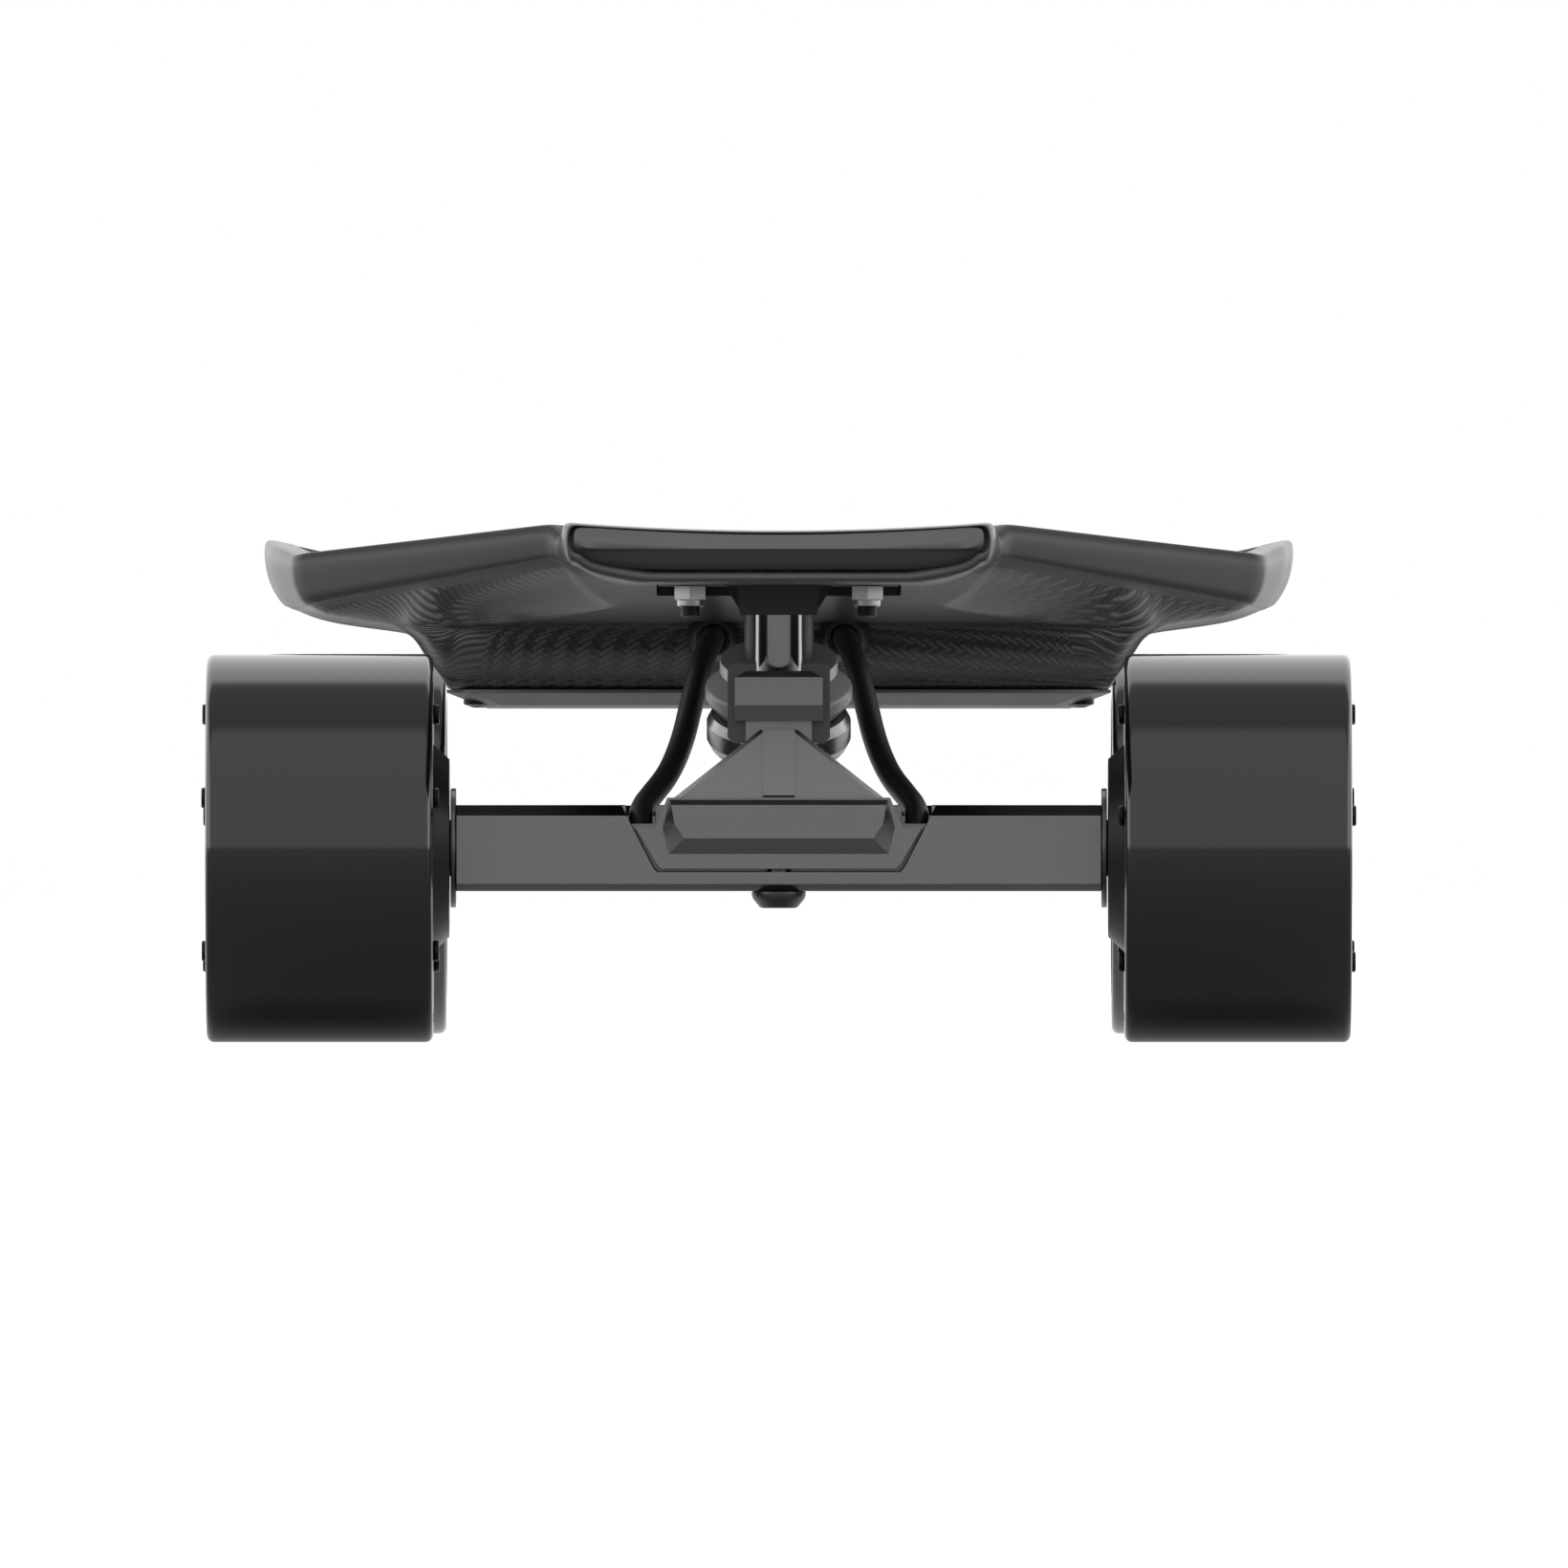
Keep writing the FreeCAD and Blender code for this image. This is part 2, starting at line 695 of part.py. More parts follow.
def bumper(end, turn, role):
    """The rubber block let into the end of the deck, or the socket that it sits in."""
    made = body(f"{end}_bumper_{role}")

    def rim(inset, slope="0"):
        side, low, high = f"(tip_half - {inset})", f"(tip_skirt + {slope})", f"(tip_edge - {inset} - {slope})"
        return mirrored([
            ("tip_flat", f"tip_under + bumper_low_rim - bumper_rim + {inset} + {slope}"),
            (f"{side} - tip_tuck - 5.5 - {slope}", f"{low} - 0.2"),
            (f"{side} - tip_tuck - 0.6 - {slope}", f"{low} + 2.2"),
            (f"{side} - 0.4 - {slope}", f"{low} + 4.8"),
            (f"{side} - {slope}", f"{high} - 2.6"),
            (f"{side} - 1.6 - {slope}", f"{high} - 0.3"),
            (f"{side} - 5.5 - {slope}", high),
            ("tip_half * 0.5", f"{high} - tip_dish * 0.8"),
            ("tip_half * 0.22", f"{high} - tip_dish"),
        ])
    if role == "socket":
        base = outline(sketch(made, f"{end}_socket_outline", "XZ_Plane", "tip_at + 1"),
                       rim("(bumper_rim - bumper_fit)"))
        pad(made, f"{end}_socket_pad", base, "bumper_socket + 1", backwards=True)
    else:
        base = outline(sketch(made, f"{end}_bumper_outline", "XZ_Plane", "tip_at"), rim("bumper_rim"))
        pad(made, f"{end}_bumper_pad", base, "bumper_socket", backwards=True)
        face = outline(sketch(made, f"{end}_bumper_face", "XZ_Plane", "tip_at + bumper_proud"),
                       rim("bumper_rim", "bumper_slope"))
        crown = feature(made, "AdditiveLoft", f"{end}_bumper_crown", base)
        crown.Sections = [face]
        crown.Ruled = True
    return place(made, shifted(axis="0; 0; 1", angle=turn))


def port_recess():
    made = body("port_recess")
    drawing = rectangle(sketch(made, "port_recess_outline", "YZ_Plane", "port_face"),
                        "port_recess_place - port_recess_length / 2",
                        "port_recess_place + port_recess_length / 2",
                        "port_height - port_recess_height / 2", "port_height + port_recess_height / 2")
    pad(made, "port_recess_pad", drawing, "20")
    return made


def port_frame(place_on_side):
    return shifted("port_face", place_on_side, "port_height", "0; 1; 0", "90")


def port_holes():
    button = cylinder("button_hole", "button_diameter + 0.4", "20")
    socket = cylinder("socket_hole", "socket_diameter + 0.1", "20")
    place(button, port_frame("button_place"), shifted(z="-12"))
    place(socket, port_frame("socket_place"), shifted(z="-12"))
    return [button, socket]


def belly_places():
    """Where the belly screws stand: two rows along the sides."""
    rows = []
    for x in ("(hull_floor_half - belly_screw_inset)", "-(hull_floor_half - belly_screw_inset)"):
        for step in (-3, -2, -1, 0, 1, 2, 3):
            rows.append((x, f"{step} * belly_screw_pitch"))
    return rows


def belly_screw_holes():
    holes = []
    for i, (x, y) in enumerate(belly_places()):
        hole = cylinder(f"belly_hole_{i}", "cover_screw_shank", "belly_screw_length - cut_over")
        holes.append(place(hole, shifted(x, y, "hull_floor - cut_over")))
    return holes


def gland_holes():
    holes = []
    for i, x in enumerate(("gland_half_spacing", "-gland_half_spacing")):
        hole = cylinder(f"gland_hole_{i}", "gland_diameter - 2 * gland_step", "hull_undercut + hull_wall + 6")
        holes.append(place(hole, shifted(x, "-hull_half_length - 1", "gland_height", angle="-90")))
    return holes


def rounded_plate(name, half_width, half_length, low, high, low_inset="0", corner="6"):
    """A rectangular plate whose lower face is smaller by the inset."""
    made = body(name)
    drawings = []
    for k, (height, inset) in enumerate(((low, low_inset), (high, "0"))):
        w, l = f"({half_width} - {inset})", f"({half_length} - {inset})"
        drawings.append(outline(sketch(made, f"{name}_face{k}", "XY_Plane", height), [
            (f"-{w} + {corner}", f"-{l}"), (f"{w} - {corner}", f"-{l}"), (w, f"-{l} + {corner}"),
            (w, f"{l} - {corner}"), (f"{w} - {corner}", l), (f"-{w} + {corner}", l),
            (f"-{w}", f"{l} - {corner}"), (f"-{w}", f"-{l} + {corner}"),
        ]))
    loft = feature(made, "AdditiveLoft", f"{name}_loft", drawings[0])
    loft.Sections = [drawings[1]]
    loft.Ruled = True
    return made


def make_belly():
    plate = rounded_plate("cover_blank", "hull_floor_half", HULL_END, COVER_BOTTOM, COVER_TOP,
                          "cover_chamfer")
    holes, screws = [], []
    for i, (x, y) in enumerate(belly_places()):
        hole = cylinder(f"cover_hole_{i}", "cover_screw_shank + 4 * hole_room", "2 * cover_thickness")
        seat = cylinder(f"cover_seat_{i}", "belly_screw_head + 6 * hole_room", "cover_thickness")
        place(hole, shifted(x, y, f"{COVER_BOTTOM} - cut_over"))
        place(seat, shifted(x, y, f"{COVER_TOP} - belly_screw_web - cover_thickness"))
        holes += [hole, seat]
        head = cylinder(f"belly_head_{i}", "belly_screw_head", "belly_screw_height")
        shank = cylinder(f"belly_shank_{i}", "cover_screw_shank", "belly_screw_length")
        place(head, shifted(x, y, f"{COVER_TOP} - belly_screw_web - belly_screw_height"))
        place(shank, shifted(x, y, f"{COVER_TOP} - belly_screw_web - belly_screw_height"))
        screws.append(fuse(f"belly_screw_{i}", [head, shank]))
    named(cut("cover_cut", plate, group("cover_holes", holes)), "belly_cover")
    named(group("belly_screw_set", screws), "belly_screws")

    gasket = rounded_plate("gasket_blank", "hull_floor_half", HULL_END, COVER_TOP, "hull_floor")
    window = rounded_plate("gasket_window", "(hull_floor_half - hull_wall)", CAVITY_END,
                           f"{COVER_TOP} - cut_over", "hull_floor + cut_over")
    open_gasket = cut("gasket_open", gasket, window)
    rings = []
    for i, (x, y) in enumerate(belly_places()):
        ring = cylinder(f"gasket_hole_{i}", "cover_screw_shank + 4 * hole_room", "4 * gasket_thickness")
        rings.append(place(ring, shifted(x, y, "hull_floor - 2 * gasket_thickness")))
    named(cut("gasket_cut", open_gasket, group("gasket_holes", rings)), "belly_gasket")


def make_electrics():
    battery = rounded_plate("battery", "battery_half_width", "battery_half_length",
                            COVER_TOP, f"{COVER_TOP} + battery_height")
    named(place(battery, shifted(y=f"{CAVITY_END} - inside_gap - battery_half_length")), "battery_pack")
    controller = rounded_plate("controller", "controller_half_width", "controller_length / 2",
                               COVER_TOP, f"{COVER_TOP} + controller_height")
    place(controller, shifted(y=f"controller_length / 2 + inside_gap - {CAVITY_END}"))
    named(controller, "motor_controller")


def make_ports():
    """Everything here is drawn along Z and turned to face sideways out of the hull's wall."""
    button = turned_body("button", [
        ("0", "-hull_wall / 2"), ("button_diameter / 2", "-hull_wall / 2"),
        ("button_diameter / 2", "button_rise - button_round"),
        ("button_diameter / 2 - button_round", "button_rise"),
        ("button_diameter / 2 - button_lip", "button_rise"),
        ("button_diameter / 2 - button_lip - button_round", "button_rise - button_round"),
        ("0", "button_rise - button_round"),
    ], axis="V_Axis")
    named(place(button, port_frame("button_place")), "power_button")
    bezel = turned_body("bezel", [
        ("button_diameter / 2 + running_gap", "0"), ("bezel_diameter / 2", "0"),
        ("bezel_diameter / 2", "bezel_thickness * 0.6"),
        ("bezel_diameter / 2 - bezel_thickness * 0.4", "bezel_thickness"),
        ("button_diameter / 2 + running_gap", "bezel_thickness"),
    ], axis="V_Axis")
    named(place(bezel, port_frame("button_place")), "button_bezel")

    socket = turned_body("socket", [
        ("socket_bore / 2", "socket_flange"), ("socket_bore / 2", "socket_floor - socket_length"),
        ("0", "socket_floor - socket_length"), ("0", "-socket_length"),
        ("socket_diameter / 2", "-socket_length"), ("socket_diameter / 2", "0"),
        ("cap_diameter / 2", "0"), ("cap_diameter / 2", "socket_flange"),
    ], axis="V_Axis")
    named(place(socket, port_frame("socket_place")), "charge_socket")

    # The cap is a disc with an ear above it that closes round the hinge pin.
    cap = turned_body("cap_disc", [
        ("0", CAP_SEAT), ("cap_diameter / 2", CAP_SEAT),
        ("cap_diameter / 2", f"{CAP_SEAT} + cap_thickness - cap_round"),
        ("cap_diameter / 2 - cap_round", f"{CAP_SEAT} + cap_thickness"),
        ("0", f"{CAP_SEAT} + cap_thickness"),
    ], axis="V_Axis")
    place(cap, port_frame("socket_place"))
    return cap


# ---------------------------------------------------------------- trucks

KINGPIN = shifted("0", "ring_inset", "ring_height", angle="kingpin_tilt")
PIVOT = shifted("0", "-pivot_outset", "pivot_height", angle="pivot_tilt")


def make_baseplate(t):
    truck = f"{t}_truck"
    flange = body(f"{t}_flange")
    drawing = rectangle(sketch(flange, f"{t}_flange_outline", "XY_Plane", MOUNT_UNDERSIDE),
                        "-baseplate_half_width", "baseplate_half_width",
                        "-baseplate_outboard", "baseplate_inboard")
    slab = pad(flange, f"{t}_flange_pad", drawing, "baseplate_thickness")
    boss = outline(sketch(flange, f"{t}_boss_outline", "XZ_Plane", "-boss_inboard"), mirrored([
        ("boss_half_low", "boss_bottom"), ("boss_half_high", f"{MOUNT_UNDERSIDE} + cut_over")]))
    pad(flange, f"{t}_boss_pad", boss, "boss_outboard + boss_inboard")
    webs = outline(sketch(flange, f"{t}_web_outline", "XZ_Plane", "web_place"), mirrored([
        ("boss_half_low", "boss_bottom + web_rise"), ("web_half", f"{MOUNT_UNDERSIDE} + cut_over")]))
    pad(flange, f"{t}_web_pad", webs, "web_thickness")
    place(flange, truck)

    kingpin_boss = cylinder(f"{t}_kingpin_boss", "kingpin_boss", "mount_height - ring_height")
    place(kingpin_boss, truck, KINGPIN, shifted(z=f"{STACK_TOP} + washer_thickness"))
    ceiling = body(f"{t}_ceiling")
    pad(ceiling, f"{t}_ceiling_pad", rectangle(
        sketch(ceiling, f"{t}_ceiling_outline", "XY_Plane", "mount_height"), "-2 * baseplate_half_width",
        "2 * baseplate_half_width", "-2 * baseplate_inboard", "2 * baseplate_inboard"), "2 * deck_cut")
    place(ceiling, truck)
    solid = cut(f"{t}_baseplate_solid", fuse(f"{t}_baseplate_fused", [flange, kingpin_boss]), ceiling)

    bore = cylinder(f"{t}_kingpin_bore", "kingpin_diameter + 2 * hole_room",
                    "2 * (mount_height - ring_height)")
    head = hexagon(f"{t}_kingpin_head_seat", "kingpin_head + 4 * hole_room", "2 * kingpin_head")
    reach = "(pivot_diameter / 2 + cup_wall)"
    cup = turned_body(f"{t}_cup_seat", [
        ("0", reach), (f"{reach} * 0.6", reach), (reach, f"{reach} * 0.6"), (reach, "-pivot_length"),
        ("0", "-pivot_length"),
    ], axis="V_Axis")
    place(bore, truck, KINGPIN)
    place(head, truck, KINGPIN, shifted(z=KINGPIN_HEAD))
    place(cup, truck, PIVOT)
    tools = [bore, head, cup] + bolt_set(
        t, "plate_hole", "deck_bolt + 4 * hole_room",
        f"{MOUNT_UNDERSIDE} - cut_over", "baseplate_thickness + 2 * cut_over")
    named(cut(f"{t}_baseplate_cut", solid, group(f"{t}_baseplate_tools", tools)), f"{t}_baseplate")


def make_pivot(t):
    truck = f"{t}_truck"
    r = "pivot_diameter / 2"
    reach = f"({r} + cup_wall)"
    clear = f"({r} + pivot_clearance)"
    cup = turned_body(f"{t}_cup_blank", [
        ("0", reach), (f"{reach} * 0.6", reach), (reach, f"{reach} * 0.6"), (reach, "-cup_length"),
        (f"{clear} + cup_flare", "-cup_length"), (clear, "0"),
        (f"{clear} * 0.866", f"{clear} * 0.62"), (f"{clear} * 0.5", f"{clear} * 0.98"),
        ("0", f"{clear} + 0.2"),
    ], axis="V_Axis")
    place(cup, truck, PIVOT)
    bound = body(f"{t}_cup_bound")
    pad(bound, f"{t}_cup_bound_pad", rectangle(
        sketch(bound, f"{t}_cup_bound_outline", "XY_Plane", "boss_bottom"), "-2 * boss_half_high",
        "2 * boss_half_high", "-2 * boss_outboard", "boss_outboard"), "boss_outboard")
    place(bound, truck)
    shared("pivot_cups", common(f"{t}_cup_trimmed", cup, bound))

    pin = turned_body(f"{t}_pin", [
        ("0", f"{r}"), (f"{r} * 0.5", f"{r} * 0.866"), (f"{r} * 0.866", f"{r} * 0.5"), (r, "0"),
        (r, "-pivot_length"), ("0", "-pivot_length"),
    ], axis="V_Axis")
    named(place(pin, truck, PIVOT), f"{t}_pivot_pin")


def bushing(t, name, height, up):
    """A barrel of urethane on the kingpin, from the ring towards a washer."""
    end, sign = "ring_thickness / 2 + bushing_gap", "" if up else "-"
    bore = "kingpin_diameter / 2 + 0.15"
    def at(share):
        return f"{sign}({end} + {height} * {share})"
    corners = [
        (bore, at("0")), ("bushing_waist / 2", at("0")), ("bushing_belly / 2", at("0.34")),
        ("bushing_belly / 2", at("0.58")), ("bushing_end / 2 - 0.3", at("0.86")),
        ("bushing_end / 2 - 0.3", at("1")), (bore, at("1")),
    ] if up else [
        (bore, at("0")), ("bushing_waist / 2", at("0")), ("bushing_waist / 2 - 1", at("0.5")),
        ("bushing_end / 2 - 2", at("1")), (bore, at("1")),
    ]
    made = turned_body(f"{t}_{name}", corners, axis="V_Axis")
    return place(made, f"{t}_truck", KINGPIN)


def washer(t, name, base, up):
    sign = "" if up else "-"
    def at(rise):
        return f"{sign}({base} + {rise})"
    made = turned_body(f"{t}_{name}", [
        ("kingpin_diameter / 2 + 0.1", at("0")), ("bushing_end / 2", at("0")),
        ("bushing_end / 2", at("-washer_lip")), ("washer_diameter / 2", at("-washer_lip")),
        ("washer_diameter / 2", at("washer_thickness")),
        ("kingpin_diameter / 2 + 0.1", at("washer_thickness")),
    ], axis="V_Axis")
    return place(made, f"{t}_truck", KINGPIN)


def make_kingpin(t):
    truck = f"{t}_truck"
    named(group(f"{t}_bushing_pair", [
        bushing(t, "upper_bushing", "bushing_height", True),
        bushing(t, "lower_bushing", "lower_bushing_height", False)]), f"{t}_bushings")
    shared("bushing_washers", washer(t, "upper_washer", STACK_TOP, True),
           washer(t, "lower_washer", STACK_BOTTOM, False))

    nut_top = f"(-{STACK_BOTTOM} - washer_thickness)"
    shaft = cylinder(f"{t}_kingpin_shaft", "kingpin_diameter",
                     f"{KINGPIN_HEAD} - {nut_top} + kingpin_nut_height + kingpin_end")
    head = hexagon(f"{t}_kingpin_head", "kingpin_head", "kingpin_head_height")
    place(shaft, truck, KINGPIN, shifted(z=f"{nut_top} - kingpin_nut_height - kingpin_end"))
    place(head, truck, KINGPIN, shifted(z=KINGPIN_HEAD))
    shared("kingpins", fuse(f"{t}_kingpin_bolt", [shaft, head]))

    nut = hexagon(f"{t}_nut_blank", "kingpin_nut_across", "kingpin_nut_height")
    thread = cylinder(f"{t}_nut_thread", "kingpin_diameter", "kingpin_nut_height + 2")
    place(nut, truck, KINGPIN, shifted(z=f"{nut_top} - kingpin_nut_height"))
    place(thread, truck, KINGPIN, shifted(z=f"{nut_top} - kingpin_nut_height - 1"))
    shared("kingpin_nuts", cut(f"{t}_nut_cut", nut, thread))


def make_deck_fasteners(t):
    top = BOLT_HEAD_SEAT
    low = f"({MOUNT_UNDERSIDE} - deck_nut_height - bolt_end_length)"
    head_height = "(bolt_head_depth - bolt_head_sink)"
    shanks = bolt_set(t, "bolt_shank", "deck_bolt", low, f"{top} - {low} + {head_height} / 2")
    heads = bolt_set(t, "bolt_head", "bolt_head", top, head_height)
    shared("deck_bolts", *[fuse(f"{t}_bolt_{i}", list(pair)) for i, pair in enumerate(zip(shanks, heads))])

    nuts = []
    threads = bolt_set(t, "deck_nut_thread", "deck_bolt", f"{low} - cut_over", "deck_cut")
    spots = [(x, y) for x in ("bolt_half_width", "-bolt_half_width")
             for y in ("-outboard_bolt_distance", "inboard_bolt_distance")]
    for i, (x, y) in enumerate(spots):
        nut = hexagon(f"{t}_deck_nut_{i}", "deck_nut_across", "deck_nut_height - nut_collar_rise")
        collar = cylinder(f"{t}_deck_nut_collar_{i}", "deck_nut_across - nut_collar_step", "deck_nut_height")
        place(nut, f"{t}_truck", shifted(x, y, f"{MOUNT_UNDERSIDE} - deck_nut_height + nut_collar_rise",
                                         "0; 0; 1", "30"))
        place(collar, f"{t}_truck", shifted(x, y, f"{MOUNT_UNDERSIDE} - deck_nut_height"))
        whole = fuse(f"{t}_deck_nut_whole_{i}", [nut, collar])
        nuts.append(cut(f"{t}_deck_nut_cut_{i}", whole, threads[i]))
    shared("deck_nuts", *nuts)


def make_beam(t):
    """A milled bar with a pocket in its outboard face that the yoke is keyed into."""
    beam = body(f"{t}_beam")
    d = "beam_depth / 2"
    section = outline(sketch(beam, f"{t}_beam_section", "YZ_Plane"), [
        (f"-{d} + beam_bottom_chamfer", "beam_bottom"), (f"{d} - beam_bottom_chamfer", "beam_bottom"),
        (d, "beam_bottom + beam_bottom_chamfer"), (d, "beam_top - beam_top_chamfer"),
        (f"{d} - beam_top_chamfer", "beam_top"), (f"-{d} + beam_top_chamfer", "beam_top"),
        (f"-{d}", "beam_top - beam_top_chamfer"), (f"-{d}", "beam_bottom + beam_bottom_chamfer"),
    ])
    pad(beam, f"{t}_beam_pad", section, "2 * beam_half_length", both_ways=True)
    key = outline(sketch(beam, f"{t}_beam_key", "XZ_Plane", f"{d} - pocket_depth"), mirrored([
        ("pocket_bottom_half - pocket_corner", "pocket_bottom"),
        ("pocket_bottom_half", "pocket_bottom + pocket_corner"),
        ("pocket_top_half", "beam_top"), ("pocket_top_half", "beam_top + cut_over")]))
    pocket(beam, f"{t}_beam_key_cut", key, "pocket_depth + cut_over", backwards=True)
    if t == "rear":
        notches = (("slot", "cable_slot_floor", f"-{d} + pocket_depth - 1"),
                   ("well", "cable_well_floor", "cable_well_start"))
        for side in ("", "-"):
            for kind, floor, start in notches:
                name = f"{t}_cable_{kind}{len(side)}"
                notch = rectangle(sketch(beam, name, "XY_Plane", floor), f"{side}cable_slot_inner",
                                  f"{side}cable_slot_outer", start, f"{d} + 1")
                pocket(beam, f"{name}_cut", notch, "20", backwards=True)
    bore = circle(sketch(beam, f"{t}_axle_bore", "YZ_Plane"), "0", AXLE_HEIGHT, "axle_diameter")
    pocket(beam, f"{t}_axle_bore_cut", bore, both_ways=True)
    screw = circle(sketch(beam, f"{t}_screw_bore", "XY_Plane", "beam_bottom - 1"),
                   "0", "-yoke_screw_place", "yoke_screw_diameter + 0.4")
    pocket(beam, f"{t}_screw_bore_cut", screw, "pocket_bottom - beam_bottom + 2", backwards=True)
    place(beam, f"{t}_truck")
    named(beam, f"{t}_hanger_beam")


def make_yoke(t):
    """Key, name-plate land, bridge, braced gusset, pivot block and bushing ring in one casting."""
    yoke = body(f"{t}_yoke_blank")
    front = "(beam_depth / 2)"
    gap = "pocket_groove"

    key = outline(sketch(yoke, f"{t}_key_outline", "XZ_Plane", f"{front} - pocket_depth"), mirrored([
        (f"pocket_bottom_half - pocket_corner - {gap}", f"pocket_bottom + {gap}"),
        (f"pocket_bottom_half - {gap}", f"pocket_bottom + pocket_corner + {gap}"),
        ("cable_slot_outer - key_ear_inset", "plate_flange_top"),
        ("cable_slot_inner", "plate_flange_top"),
        ("bridge_top_half", "bridge_top"),
    ]))
    pad(yoke, f"{t}_key_pad", key, "pocket_depth - key_setback")

    low = outline(sketch(yoke, f"{t}_land_foot", "XZ_Plane", f"{front} - key_setback"), mirrored([
        ("plate_bevel_half - plate_bevel_lean", "plate_bevel_bottom"),
        ("plate_bevel_half", "plate_flange_top"),
        ("bridge_top_half - key_setback", "bridge_top - key_setback")]))
    high = outline(sketch(yoke, f"{t}_land_face", "XZ_Plane",
                          f"{front} - key_setback + plate_rise"), mirrored([
        ("plate_flat_low_half", "plate_flat_bottom"),
        ("plate_flat_top_half - plate_flat_waist", "plate_flange_top + plate_flat_waist"),
        ("plate_flat_top_half", "beam_top")]))
    land = feature(yoke, "AdditiveLoft", f"{t}_land", low)
    land.Sections = [high]
    land.Ruled = True

    bridge = rectangle(sketch(yoke, f"{t}_bridge_outline", "YZ_Plane"),
                       f"-{front} + key_setback", f"{front} - bridge_inset", "beam_top", "bridge_top")
    pad(yoke, f"{t}_bridge_pad", bridge, "2 * bridge_top_half", both_ways=True)

    def gusset_ring(name, height, half, depth, shift):
        b = "gusset_bevel"
        return outline(sketch(yoke, f"{t}_{name}", "XY_Plane", height), [
            (f"-{half} + {b}", f"-{depth} + {shift}"), (f"{half} - {b}", f"-{depth} + {shift}"),
            (half, f"-{depth} + {b} + {shift}"), (half, f"{depth} - {b} + {shift}"),
            (f"{half} - {b}", f"{depth} + {shift}"), (f"-{half} + {b}", f"{depth} + {shift}"),
            (f"-{half}", f"{depth} - {b} + {shift}"), (f"-{half}", f"-{depth} + {b} + {shift}"),
        ])
    foot = gusset_ring("gusset_foot", "bridge_top - key_setback", "plate_flat_top_half",
                        "gusset_foot_depth", "-gusset_foot_set")
    head = gusset_ring("gusset_head", "gusset_top", "gusset_top_half",
                       "gusset_head_depth", "-gusset_head_set")
    gusset = feature(yoke, "AdditiveLoft", f"{t}_gusset", foot)
    gusset.Sections = [head]
    gusset.Ruled = True

    rib = outline(sketch(yoke, f"{t}_rib_outline", "YZ_Plane"), [
        (f"-{front} + key_setback", "beam_top"), ("0", "beam_top"), ("-gusset_head_set", "gusset_top"),
        ("-gusset_head_depth - gusset_head_set - rib_rise", "gusset_top"),
        ("-gusset_foot_depth - gusset_foot_set - rib_rise", "bridge_top + key_setback"),
    ])
    pad(yoke, f"{t}_rib_pad", rib, "2 * rib_half", both_ways=True)

    block = outline(sketch(yoke, f"{t}_block_section", "YZ_Plane"), [
        ("-block_front + block_low_bevel * 0.6", "block_bottom"), ("block_back", "block_bottom"),
        ("block_back", "block_top"), ("-block_front + block_chamfer", "block_top"),
        ("-block_front", "block_top - block_chamfer"), ("-block_front", "block_bottom + block_low_bevel"),
    ])
    pad(yoke, f"{t}_block_pad", block, "2 * block_half", both_ways=True)
    for side in ("", "-"):
        corner = outline(sketch(yoke, f"{t}_block_corner{len(side)}", "XZ_Plane", "block_front + cut_over"), [
            (f"{side}(block_half + cut_over)", "block_top + cut_over"),
            (f"{side}(block_half - block_corner)", "block_top + cut_over"),
            (f"{side}(block_half - block_corner)", "block_top"),
            (f"{side}block_half", "block_top - block_corner * 0.6"),
            (f"{side}(block_half + cut_over)", "block_top - block_corner * 0.6"),
        ])
        pocket(yoke, f"{t}_block_corner_cut{len(side)}", corner, "block_front + block_back + 2 * cut_over")

    shield = outline(sketch(yoke, f"{t}_shield_outline", "XZ_Plane", "-block_back"), mirrored([
        ("shield_half - shield_corner", "shield_bottom"), ("shield_half", "shield_bottom + shield_corner"),
        ("shield_half", "shield_top - shield_corner"), ("shield_half - shield_corner", "shield_top")]))
    pad(yoke, f"{t}_shield_pad", shield, "shield_thickness")

    neck = outline(sketch(yoke, f"{t}_neck_outline", "YZ_Plane"), [
        ("-gusset_head_depth - neck_bite", "gusset_top - 2 * neck_bite"),
        ("neck_throat", "bridge_top + (gusset_top - bridge_top) * 0.31"),
        ("ring_inset - ring_diameter / 2 + 2 * neck_bite", "ring_height - 2 * neck_bite"),
        ("ring_inset - ring_diameter / 2 + neck_bite", "ring_height + 2 * neck_bite"),
        ("block_back", "block_bottom + neck_shoulder"),
        ("-gusset_head_depth - neck_bite", "block_bottom + neck_bite / 2"),
    ])
    pad(yoke, f"{t}_neck_pad", neck, "2 * arm_half", both_ways=True)
    place(yoke, f"{t}_truck")

    ring = turned_body(f"{t}_ring", [
        ("0", "-ring_thickness / 2"), ("ring_diameter / 2 - ring_edge", "-ring_thickness / 2"),
        ("ring_diameter / 2", "-ring_thickness / 2 + ring_edge * 2"),
        ("ring_diameter / 2", "ring_thickness / 2 - ring_edge * 2"),
        ("ring_diameter / 2 - ring_edge", "ring_thickness / 2"), ("0", "ring_thickness / 2"),
    ], axis="V_Axis")
    place(ring, f"{t}_truck", KINGPIN)
    whole = fuse(f"{t}_yoke_whole", [yoke, ring])

